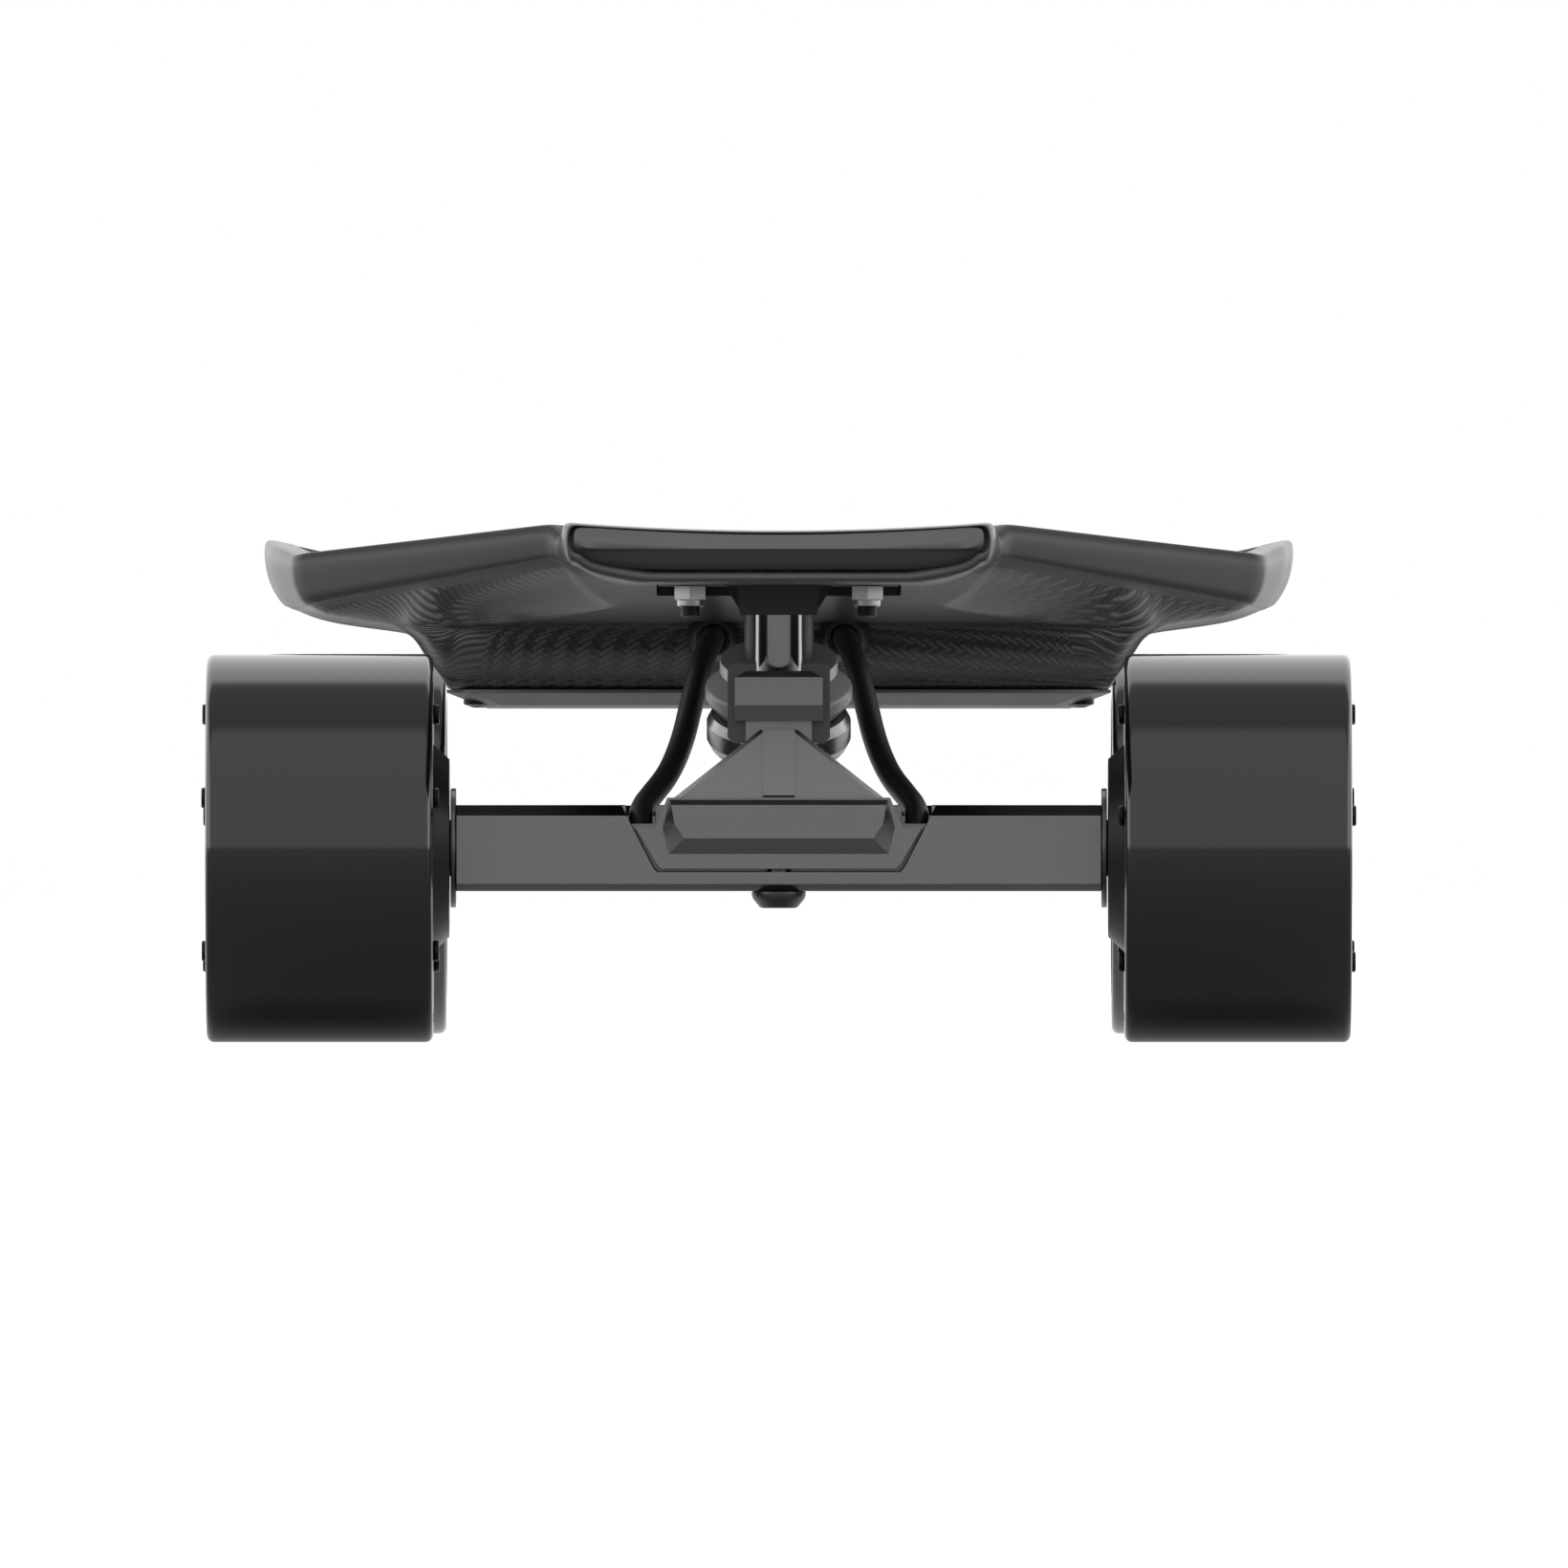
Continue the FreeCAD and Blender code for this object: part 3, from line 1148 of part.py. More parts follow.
    clear_up = cylinder(f"{t}_bushing_room", "bushing_belly + bushing_room",
                        f"{STACK_TOP} + washer_thickness")
    place(clear_up, f"{t}_truck", KINGPIN, shifted(z="ring_thickness / 2"))
    eye = cylinder(f"{t}_ring_eye", "ring_hole", "ring_thickness + 2 * ring_hole")
    place(eye, f"{t}_truck", KINGPIN, shifted(z="-ring_thickness / 2 - ring_hole"))
    pin_bore = cylinder(f"{t}_pin_bore", "pivot_diameter", "1.5 * pivot_length")
    place(pin_bore, f"{t}_truck", PIVOT, shifted(z="-pivot_length"))
    screw_bore = cylinder(f"{t}_yoke_screw_bore", "yoke_screw_diameter", "yoke_screw_length")
    place(screw_bore, f"{t}_truck", shifted(y="-yoke_screw_place", z="beam_bottom"))
    tools = group(f"{t}_yoke_tools", [clear_up, eye, pin_bore, screw_bore])
    named(cut(f"{t}_yoke_cut", whole, tools), f"{t}_hanger_yoke")


def make_yoke_screw(t):
    """A button-head screw from below that pulls the yoke's key down into the beam."""
    screw = turned_body(f"{t}_yoke_bolt", [
        ("0", "yoke_screw_length"), ("yoke_screw_diameter / 2", "yoke_screw_length"),
        ("yoke_screw_diameter / 2", "0"), ("yoke_screw_head / 2", "0"),
        ("yoke_screw_head * 0.48", "-yoke_screw_rise * 0.4"),
        ("yoke_screw_head * 0.33", "-yoke_screw_rise"), ("yoke_screw_key / 2", "-yoke_screw_rise"),
        ("yoke_screw_key / 2", "-yoke_screw_rise * 0.45"), ("0", "-yoke_screw_rise * 0.45"),
    ], axis="V_Axis")
    named(place(screw, f"{t}_truck", shifted(y="-yoke_screw_place", z="beam_bottom")), f"{t}_yoke_screw")


# ---------------------------------------------------------------- axles and wheels

def both_sides(name, t, build):
    """The two mirror-placed solids of one sub-part of a truck."""
    return named(group(f"{t}_{name}_pair", [build(side) for side in ("left", "right")]), f"{t}_{name}")


def axle_frame(t, side):
    """X outwards along the axle from the truck's middle."""
    return f"{t}_{side}_axle"


def make_axle(t, bearing_face, spacer_diameter):
    rod = cylinder(f"{t}_axle_rod", "axle_diameter", "2 * (wheel_centre + wheel_width / 2 - axle_end_inset)")
    place(rod, f"{t}_truck", shifted("-(wheel_centre + wheel_width / 2 - axle_end_inset)", "0",
                                     AXLE_HEIGHT, "0; 1; 0", "90"))
    named(rod, f"{t}_axle")

    def spacer(side):
        ring = turned_body(f"{t}_{side}_spacer", [
            ("beam_half_length", "axle_diameter / 2"), ("beam_half_length", f"{spacer_diameter} / 2"),
            (f"{WHEEL_INNER} - nose_cone_length - running_gap", f"{spacer_diameter} / 2"),
            (f"{WHEEL_INNER} - nose_cone_length - running_gap", "axle_diameter / 2 + spacer_wall"),
            (f"wheel_centre + {bearing_face}", "axle_diameter / 2 + spacer_wall"),
            (f"wheel_centre + {bearing_face}", "axle_diameter / 2"),
        ], "XY_Plane")
        return place(ring, axle_frame(t, side))
    both_sides("axle_spacers", t, spacer)

    def nut(side):
        """A hexagon nut with a collar that reaches the outer bearing."""
        seat = "(wheel_centre + wheel_width / 2 - hub_recess - nut_pocket_depth - pocket_web)"
        hexa = hexagon(f"{t}_{side}_nut_hex", "axle_nut_across", "axle_nut_height")
        collar = cylinder(f"{t}_{side}_nut_collar", "axle_diameter + 2 * nut_collar", "2 * pocket_web")
        thread = cylinder(f"{t}_{side}_nut_bore", "axle_diameter", "5 * axle_nut_height")
        place(hexa, axle_frame(t, side),
              shifted(f"{seat} + pocket_web + nut_gap", axis="0; 1; 0", angle="90"))
        place(collar, axle_frame(t, side), shifted(seat, axis="0; 1; 0", angle="90"))
        place(thread, axle_frame(t, side), shifted(f"{seat} - axle_nut_height", axis="0; 1; 0", angle="90"))
        return cut(f"{t}_{side}_nut_open", fuse(f"{t}_{side}_nut_whole", [hexa, collar]), thread)
    both_sides("axle_nuts", t, nut)


def make_tyre(t, side):
    name = f"{t}_{side}_tyre"
    tyre = turned_body(f"{name}_ring", [
        (INNER_FACE, SHELL_RADIUS), ("wheel_width / 2", SHELL_RADIUS),
        ("wheel_width / 2", "wheel_diameter / 2"), (INNER_FACE, "wheel_diameter / 2"),
    ], "XY_Plane")
    doc.recompute()
    mid_wall = number(f"{SHELL_RADIUS} + tyre_wall / 2")
    rounded(tyre, "tyre_edge_radius",
            lambda edge: isinstance(edge.Curve, Part.Circle) and edge.Curve.Radius > mid_wall)
    named(place(tyre, f"{t}_{side}_wheel"), name)


def rounded(owner, radius, chosen):
    """Round the edges of the body's last feature that are chosen."""
    base = owner.Tip
    soft = owner.newObject("PartDesign::Fillet", f"{owner.Name}_rounding")
    soft.Base = (base, [f"Edge{i}" for i, edge in enumerate(base.Shape.Edges, start=1) if chosen(edge)])
    return bind(soft, Radius=radius)


def screw_ring(name, frame_name, start, length, diameter):
    """Cylinders along X on the cover screws' circle."""
    rods = []
    for i in range(int(number("cover_screw_count"))):
        rod = cylinder(f"{name}_{i}", diameter, length)
        place(rod, frame_name, shifted(axis="1; 0; 0", angle=f"{i} * 360 / cover_screw_count + 4"),
              shifted(start, "0", f"{SHELL_RADIUS} - cover_screw_inset", "0; 1; 0", "90"))
        rods.append(rod)
    return rods


REAR_BEARING_FACE = "(-wheel_width / 2 - bearing_proud)"
OUTER_BEARING_FACE = "(wheel_width / 2 - hub_recess - nut_pocket_depth - pocket_web - bearing_width)"
FRONT_BEARING_FACE = "(-wheel_width / 2 + hub_recess)"


def make_bearings(t, side, faces):
    rings = []
    for i, face in enumerate(faces):
        ring = turned_body(f"{t}_{side}_bearing_{i}", [
            (face, "axle_diameter / 2 + bore_clearance"), (face, BEARING_RADIUS),
            (f"{face} + bearing_width", BEARING_RADIUS),
            (f"{face} + bearing_width", "axle_diameter / 2 + bore_clearance"),
        ], "XY_Plane")
        rings.append(place(ring, f"{t}_{side}_wheel"))
    named(group(f"{t}_{side}_bearing_pair", rings), f"{t}_{side}_bearings")


def make_motor_wheel(side):
    """A hub motor: the tyre on a rotor can, its bolted inner cover, and the stator on the axle."""
    t, wheel = "rear", f"rear_{side}_wheel"
    cover_back = f"({INNER_FACE} + end_wall)"
    wall = f"({SHELL_RADIUS} - rotor_wall)"
    boss = f"({BEARING_RADIUS} + bearing_wall)"
    floor = f"({OUTER_FACE} - nut_pocket_depth)"
    make_tyre(t, side)

    can = turned_body(f"{wheel}_can", [
        (cover_back, wall), (cover_back, SHELL_RADIUS), (OUTER_FACE, SHELL_RADIUS),
        (OUTER_FACE, "nut_pocket / 2"), (floor, "nut_pocket / 2"),
        (floor, "axle_diameter / 2 + axle_room"), (f"{floor} - pocket_web", "axle_diameter / 2 + axle_room"),
        (f"{floor} - pocket_web", BEARING_RADIUS), (OUTER_BEARING_FACE, BEARING_RADIUS),
        (OUTER_BEARING_FACE, boss), (f"{OUTER_FACE} - end_wall", boss), (f"{OUTER_FACE} - end_wall", wall),
    ], "XY_Plane")
    place(can, wheel)
    reach = "(end_wall + cover_screw_reach)"
    bores = screw_ring(f"{wheel}_can_bore", wheel, INNER_FACE, reach, "cover_screw_shank")
    bores += screw_ring(f"{wheel}_end_bore", wheel, f"{OUTER_FACE} - {reach}", reach, "cover_screw_shank")
    named(cut(f"{wheel}_can_cut", can, group(f"{wheel}_can_bores", bores)), f"rear_{side}_rotor")

    cover = turned_body(f"{wheel}_cover", [
        (cover_back, SHELL_RADIUS), (INNER_FACE, SHELL_RADIUS), (INNER_FACE, "nose_cone_base / 2"),
        (f"{INNER_FACE} - nose_cone_length", "nose_cone_tip / 2"),
        (f"{INNER_FACE} - nose_cone_length", "axle_diameter / 2 + collar_room"),
        (REAR_BEARING_FACE, "axle_diameter / 2 + collar_room"), (REAR_BEARING_FACE, BEARING_RADIUS),
        (f"{REAR_BEARING_FACE} + bearing_width", BEARING_RADIUS),
        (f"{REAR_BEARING_FACE} + bearing_width", boss), (cover_back, boss),
    ], "XY_Plane")
    place(cover, wheel)
    holes = screw_ring(f"{wheel}_cover_bore", wheel, f"{INNER_FACE} - 1", "end_wall + 2", "cover_screw_shank")
    named(cut(f"{wheel}_cover_cut", cover, group(f"{wheel}_cover_bores", holes)), f"rear_{side}_motor_cover")

    shanks = screw_ring(f"{wheel}_screw_in", wheel, INNER_FACE, reach, "cover_screw_shank")
    heads = screw_ring(f"{wheel}_head_in", wheel, f"{INNER_FACE} - cover_screw_rise", "cover_screw_rise",
                       "cover_screw_head")
    shanks += screw_ring(f"{wheel}_screw_out", wheel, f"{OUTER_FACE} - {reach}", reach, "cover_screw_shank")
    heads += screw_ring(f"{wheel}_head_out", wheel, OUTER_FACE, "cover_screw_rise", "cover_screw_head")
    screws = [fuse(f"{wheel}_screw_{i}", list(pair)) for i, pair in enumerate(zip(shanks, heads))]
    named(group(f"{wheel}_screws", screws), f"rear_{side}_cover_screws")
    make_bearings(t, side, (REAR_BEARING_FACE, OUTER_BEARING_FACE))

    half = "(stator_width / 2)"
    magnets = turned_body(f"{wheel}_magnets", [
        (f"-{half} - magnet_overhang", f"{wall} - magnet_thickness"), (f"-{half} - magnet_overhang", wall),
        (f"{half} + magnet_overhang", wall), (f"{half} + magnet_overhang", f"{wall} - magnet_thickness"),
    ], "XY_Plane")
    named(place(magnets, wheel), f"rear_{side}_magnets")
    outer = f"({wall} - magnet_thickness - air_gap)"
    stator = turned_body(f"{wheel}_stator", [
        (f"-{half}", "axle_diameter / 2"), (f"-{half}", f"{outer} - 12"),
        (f"-{half} + 4", f"{outer} - 3"), (f"-{half} + 4", outer), (f"{half} - 7", outer),
        (f"{half} - 7", f"{outer} - 3"), (f"{half} - 3", f"{outer} - 8"),
        (f"{half} - 7.5", f"{boss} + 1.5"), (f"{half} - 7.5", "axle_diameter / 2")], "XY_Plane")
    named(place(stator, wheel), f"rear_{side}_stator")


def make_free_wheel(side):
    """A cored wheel of the same size, on two bearings."""
    t, wheel = "front", f"front_{side}_wheel"
    wall = f"({SHELL_RADIUS} - core_wall)"
    boss = f"({BEARING_RADIUS} + bearing_wall)"
    make_tyre(t, side)
    core = turned_body(f"{wheel}_core", [
        (FRONT_BEARING_FACE, boss), ("-disc_foot", f"{boss} + 1"), ("-disc_edge", wall),
        (FRONT_BEARING_FACE, f"{wall} + core_flare"), (FRONT_BEARING_FACE, SHELL_RADIUS),
        (OUTER_FACE, SHELL_RADIUS), (OUTER_FACE, f"{wall} + core_flare"), ("disc_edge", wall),
        ("disc_foot", f"{boss} + 1"), (OUTER_FACE, boss), (OUTER_FACE, BEARING_RADIUS),
        (OUTER_BEARING_FACE, BEARING_RADIUS), (OUTER_BEARING_FACE, "axle_diameter / 2 + 2"),
        (f"{FRONT_BEARING_FACE} + bearing_width", "axle_diameter / 2 + 2"),
        (f"{FRONT_BEARING_FACE} + bearing_width", BEARING_RADIUS), (FRONT_BEARING_FACE, BEARING_RADIUS),
    ], "XY_Plane")
    window = circle(sketch(core, f"{wheel}_window", "YZ_Plane"), "0", f"({boss} + {wall}) / 2",
                    "spoke_window")
    hole = pocket(core, f"{wheel}_window_cut", window, "4 * disc_foot", both_ways=True)
    polar(core, f"{wheel}_windows", hole, "spoke_count")
    named(place(core, wheel), f"front_{side}_hub")
    make_bearings(t, side, (FRONT_BEARING_FACE, OUTER_BEARING_FACE))


# ---------------------------------------------------------------- motor cables

# In the rear truck's frame, the right-hand cable leaves its gland and passes beside the bushings.
# Its bends lie at these shares of the way across, along and down to where it comes over the beam,
# and from there it runs in its slot and down its well.
CABLE_GLAND = ("gland_half_spacing", "wheelbase / 2 - hull_half_length - gland_length + cable_tuck",
               "gland_height")
CABLE_BENDS = [(0.013, 0.231, 0.005), (0.152, 0.438, 0.130), (0.342, 0.545, 0.403),
               (0.494, 0.669, 0.660), (0.722, 0.835, 0.868)]
SLOT_MIDDLE = "(cable_slot_inner + cable_slot_outer) / 2"
CABLE_IN_BEAM = [
    ("cable_slot_inner + cable_lead_in", "beam_depth / 2 + cable_run_up", "beam_top + cable_rise"),
    (SLOT_MIDDLE, "beam_depth / 2 - cable_end_gap", "cable_slot_floor + cable_diameter / 2 + cable_tuck"),
    (SLOT_MIDDLE, "cable_well_start + cable_diameter / 2 + 2 * running_gap",
     "cable_slot_floor - cable_end_gap"),
    (SLOT_MIDDLE, "cable_well_start + cable_diameter / 2 + running_gap",
     "cable_well_floor + cable_end_gap"),
]


def cable_route(x_sign):
    start, *ends = (FreeCAD.Vector(*map(number, spot)) for spot in [CABLE_GLAND] + CABLE_IN_BEAM)
    run = ends[0] - start
    bends = [start + FreeCAD.Vector(run.x * across, run.y * along, run.z * down)
             for across, along, down in CABLE_BENDS]
    return [FreeCAD.Vector(x_sign * spot.x, spot.y, spot.z) for spot in (start, *bends, *ends)]


def cable_path(route):
    """Straight runs joined by arcs tangent to both, each as large as its two runs allow."""
    edges, start = [], route[0]
    for before, point, after in zip(route, route[1:], route[2:]):
        back, ahead = before - point, after - point
        turn = FreeCAD.Vector(back).getAngle(ahead * -1)
        radius = 0.45 * min(back.Length, ahead.Length) / abs(math.tan(turn / 2))
        print(f"cable radius {radius:.1f} mm")
        tangent = 0.45 * min(back.Length, ahead.Length)
        first = point + back.normalize() * tangent
        last = point + ahead.normalize() * tangent
        bisector = (back + ahead).normalize()
        centre_distance = (radius ** 2 + tangent ** 2) ** 0.5
        middle = point + bisector * (centre_distance - radius)
        edges += [Part.LineSegment(start, first).toShape(), Part.Arc(first, middle, last).toShape()]
        start = last
    edges.append(Part.LineSegment(start, route[-1]).toShape())
    return Part.Wire(edges)


def make_cables():
    radius = number("cable_diameter") / 2
    frame_place = doc.getObject("rear_truck").Placement
    tubes, glands = [], []
    for side, x_sign in (("left", -1), ("right", 1)):
        route = cable_route(x_sign)
        path = cable_path(route)
        end = Part.Wire([Part.Circle(route[0], route[0] - route[1], radius).toShape()])
        tube = path.makePipeShell([end], True, False)
        print(f"cable {path.Length:.1f} mm, volume over section times length "
              f"{tube.Volume / (math.pi * radius ** 2 * path.Length):.4f}")
        held = doc.addObject("Part::Feature", f"{side}_cable")
        held.Shape = tube
        held.Placement = frame_place
        tubes.append(held)
        gland = turned_body(f"{side}_gland", [
            ("cable_diameter / 2 + cable_clearance", "-hull_undercut"),
            ("gland_diameter / 2 - gland_step", "-hull_undercut"),
            ("gland_diameter / 2 - gland_step", "0"), ("gland_diameter / 2", "0"),
            ("gland_diameter / 2", "gland_length - gland_taper"),
            ("gland_diameter / 2 - gland_taper / 2", "gland_length"),
            ("cable_diameter / 2 + cable_clearance", "gland_length"),
        ], axis="V_Axis")
        glands.append(place(gland, shifted(f"{x_sign} * gland_half_spacing", "-hull_half_length",
                                           "gland_height", angle="90")))
    named(group("cable_pair", tubes), "motor_cables")
    named(group("gland_pair", glands), "cable_glands")


def make_cap(cap):
    """The charge socket's cap swings sideways on an upright pin between two lugs."""
    rise = f"({CAP_SEAT} + cap_pin / 2 + ear_wall)"
    barrel = cylinder("cap_barrel", "cap_pin + 2 * ear_wall", "2 * ear_half")
    ear = doc.addObject("Part::Box", "cap_ear")
    bind(ear, Length="2 * ear_half", Width="cap_hinge - cap_diameter / 2 + 2 * ear_wall",
         Height="cap_thickness - 2 * ear_inset")
    hole = cylinder("cap_pin_hole", "cap_pin + 2 * bore_clearance", "2 * pin_half")
    turn = {"axis": "0; 1; 0", "angle": "90"}
    side = "(-cap_hinge)"
    place(barrel, port_frame("socket_place"), shifted("-ear_half", side, rise, **turn))
    place(ear, port_frame("socket_place"), shifted("-ear_half", side, f"{CAP_SEAT} + ear_inset"))
    place(hole, port_frame("socket_place"), shifted("-pin_half", side, rise, **turn))
    named(cut("cap_whole", fuse("cap_blank", [cap, barrel, ear]), hole), "charge_cap")

    pin = cylinder("hinge_pin", "cap_pin", "2 * pin_half")
    place(pin, port_frame("socket_place"), shifted("-pin_half", side, rise, **turn))
    lugs = [pin]
    for i, x in enumerate(("-pin_half", "ear_half + running_gap")):
        lug = doc.addObject("Part::Box", f"hinge_lug_{i}")
        bind(lug, Length="pin_half - ear_half - running_gap", Width="cap_pin + 2 * lug_wall",
             Height=f"{rise} + cap_pin / 2 + lug_wall")
        place(lug, port_frame("socket_place"), shifted(x, f"{side} - cap_pin / 2 - lug_wall", "0"))
        lugs.append(lug)
    named(fuse("cap_hinge_fused", lugs), "cap_hinge")


# ---------------------------------------------------------------- assembly

frame("rear_truck", shifted(y="-wheelbase / 2"))
frame("front_truck", shifted(y="wheelbase / 2", axis="0; 0; 1", angle="180"))
RIGHT_TURNS = {"rear": {"right": "0", "left": "180"}, "front": {"right": "180", "left": "0"}}
for t, turns in RIGHT_TURNS.items():
    for side, turn in turns.items():
        frame(axle_frame(t, side), f"{t}_truck", shifted("0", "0", AXLE_HEIGHT, "0; 0; 1", turn))
        frame(f"{t}_{side}_wheel", axle_frame(t, side), shifted("wheel_centre"))

doc.recompute()
make_deck()
make_belly()
make_electrics()
make_cap(make_ports())
for t, face, spacer in (("rear", REAR_BEARING_FACE, "motor_spacer"),
                        ("front", FRONT_BEARING_FACE, "free_spacer")):
    make_baseplate(t)
    make_pivot(t)
    make_kingpin(t)
    make_deck_fasteners(t)
    make_beam(t)
    make_yoke(t)
    make_yoke_screw(t)
    make_axle(t, face, spacer)
for side in ("left", "right"):
    make_motor_wheel(side)
    make_free_wheel(side)
make_cables()
for label, pieces in SHARED.items():
    named(group(f"{label}_of_both_trucks", pieces), label)
doc.recompute()

for thing in doc.Objects:
    if "Invalid" in thing.State or "Error" in thing.State:
        raise RuntimeError(f"{thing.Name} failed: {thing.State}")
for part in SUBPARTS:
    if part.Shape.isNull() or not part.Shape.isValid() or part.Shape.Volume <= 0:
        raise RuntimeError(f"{part.Label} has no sound shape")

os.makedirs("parts", exist_ok=True)
for part in SUBPARTS:
    part.Shape.exportStep(f"parts/{part.Label}.step")
print(f"{len(SUBPARTS)} sub-parts written")
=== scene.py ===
"""Electric skateboard on a white studio floor, seen square on from its driven end."""
import math

import bpy
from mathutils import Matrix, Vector


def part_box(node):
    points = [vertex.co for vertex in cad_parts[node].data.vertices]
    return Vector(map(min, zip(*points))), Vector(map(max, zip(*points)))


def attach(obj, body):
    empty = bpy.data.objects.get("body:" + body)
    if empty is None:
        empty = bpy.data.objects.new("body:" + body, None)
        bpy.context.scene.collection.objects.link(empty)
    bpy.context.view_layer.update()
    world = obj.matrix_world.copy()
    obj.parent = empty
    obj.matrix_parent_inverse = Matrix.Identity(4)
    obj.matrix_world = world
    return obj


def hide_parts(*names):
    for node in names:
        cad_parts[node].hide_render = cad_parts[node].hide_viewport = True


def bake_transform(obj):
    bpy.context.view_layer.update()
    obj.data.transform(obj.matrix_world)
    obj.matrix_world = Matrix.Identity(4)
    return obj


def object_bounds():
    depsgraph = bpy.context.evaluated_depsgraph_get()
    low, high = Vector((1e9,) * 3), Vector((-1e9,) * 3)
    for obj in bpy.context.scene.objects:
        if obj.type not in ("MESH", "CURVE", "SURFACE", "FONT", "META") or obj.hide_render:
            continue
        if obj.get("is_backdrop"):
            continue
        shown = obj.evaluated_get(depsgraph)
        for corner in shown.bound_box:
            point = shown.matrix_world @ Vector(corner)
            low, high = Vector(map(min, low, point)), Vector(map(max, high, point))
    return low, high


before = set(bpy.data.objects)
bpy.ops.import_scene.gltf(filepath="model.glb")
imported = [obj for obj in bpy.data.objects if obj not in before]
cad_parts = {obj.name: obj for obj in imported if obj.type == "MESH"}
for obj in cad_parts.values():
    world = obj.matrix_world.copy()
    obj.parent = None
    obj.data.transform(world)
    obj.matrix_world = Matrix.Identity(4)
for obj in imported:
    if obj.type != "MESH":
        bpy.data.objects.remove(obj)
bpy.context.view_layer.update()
MM = 0.001

# ---------------------------------------------------------------- camera and studio
# The board stands on a seamless sweep of paper between large lit panels, with a key lamp above it.
# The camera is far off with a long lens, level with the board, as for a catalogue elevation.

IMAGE_WIDTH = 403.9 * MM
IMAGE_MIDDLE = 66.5 * MM
CAMERA_ASIDE, CAMERA_HEIGHT = 1.35 * MM, 58.0 * MM
LENS, SENSOR = 1650.0, 36.0
rear_axle_y = (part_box("rear_axle")[0].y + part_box("rear_axle")[1].y) / 2


def deselect():
    bpy.ops.object.select_all(action="DESELECT")


def linear(hex_colour):
    """An sRGB hex colour as linear RGBA."""
    parts = [int(hex_colour[i:i + 2], 16) / 255 for i in (1, 3, 5)]
    return [p / 12.92 if p <= 0.04045 else ((p + 0.055) / 1.055) ** 2.4 for p in parts] + [1.0]


def add_node(tree, kind, inputs=None, **settings):
    """One node with its settings, each input a value or another node's output."""
    node = tree.nodes.new("ShaderNode" + kind)
    for setting, value in settings.items():
        setattr(node, setting, value)
    for socket, value in (inputs or {}).items():
        if isinstance(value, bpy.types.NodeSocket):
            tree.links.new(value, node.inputs[socket])
        else:
            node.inputs[socket].default_value = value
    return node


def material(name, colour, roughness, metallic=0.0, **sockets):
    """A material whose shader has these constants. Returns it, its node tree and its shader."""
    made = bpy.data.materials.new(name)
    made.use_nodes = True
    shader = made.node_tree.nodes["Principled BSDF"]
    shader.inputs["Base Color"].default_value = linear(colour)
    shader.inputs["Roughness"].default_value = roughness
    shader.inputs["Metallic"].default_value = metallic
    for socket, value in sockets.items():
        shader.inputs[socket.replace("_", " ")].default_value = value
    return made, made.node_tree, shader


deselect()
camera_y = rear_axle_y - LENS / SENSOR * IMAGE_WIDTH
bpy.ops.object.camera_add(location=(CAMERA_ASIDE, camera_y, CAMERA_HEIGHT), rotation=(math.pi / 2, 0, 0))
camera = bpy.context.object
camera.data.lens = LENS
camera.data.sensor_width = SENSOR
camera.data.shift_y = (IMAGE_MIDDLE - CAMERA_HEIGHT) / IMAGE_WIDTH
camera.data.clip_end = 60.0
bpy.context.scene.camera = camera
bpy.context.scene.view_settings.view_transform = "Standard"

# The panels are given by direction: a broad one before the board, a stronger one behind it and the
# strongest at its sides, with a dim glow all round. The camera sees only white, and mirrored rays see
# the panels with a fifth of that white.
FRONT_PANEL, BACK_PANEL, SIDE_PANELS, ALL_ROUND = 0.5, 1.3, 1.6, 0.22
WHITE_SHARE = 0.2
world = bpy.data.worlds.new("studio")
bpy.context.scene.world = world
world.use_nodes = True
sky = world.node_tree
background = sky.nodes["Background"]
background.inputs["Color"].default_value = (1, 1, 1, 1)
direction = add_node(sky, "TexCoord")
heading = add_node(sky, "SeparateXYZ", {0: direction.outputs["Generated"]})
front = add_node(sky, "MapRange", {0: heading.outputs["Y"], 1: -0.18, 2: -0.32, 3: 0.0, 4: FRONT_PANEL},
                 interpolation_type="SMOOTHSTEP")
back = add_node(sky, "MapRange", {0: heading.outputs["Y"], 1: 0.38, 2: 0.52, 3: 0.0, 4: BACK_PANEL},
                interpolation_type="SMOOTHSTEP")
sideways = add_node(sky, "Math", {0: heading.outputs["X"]}, operation="ABSOLUTE")
sides = add_node(sky, "MapRange", {0: sideways.outputs[0], 1: 0.62, 2: 0.78, 3: 0.0, 4: SIDE_PANELS},
                 interpolation_type="SMOOTHSTEP")
ends = add_node(sky, "Math", {0: front.outputs[0], 1: back.outputs[0]}, operation="ADD")
panels = add_node(sky, "Math", {0: ends.outputs[0], 1: sides.outputs[0]}, operation="ADD")
glow = add_node(sky, "Math", {0: panels.outputs[0], 1: ALL_ROUND}, operation="ADD")
path = add_node(sky, "LightPath")
mirrored = add_node(sky, "Math", {0: path.outputs["Is Glossy Ray"], 1: path.outputs["Is Transmission Ray"]},
                    operation="MAXIMUM")
faint = add_node(sky, "Math", {0: mirrored.outputs[0], 1: WHITE_SHARE}, operation="MULTIPLY")
shown = add_node(sky, "Math", {0: path.outputs["Is Camera Ray"], 1: faint.outputs[0]}, operation="MAXIMUM")
seen = add_node(sky, "Mix", {0: shown.outputs[0], 2: glow.outputs[0], 3: 1.0})
sky.links.new(seen.outputs[0], background.inputs["Strength"])

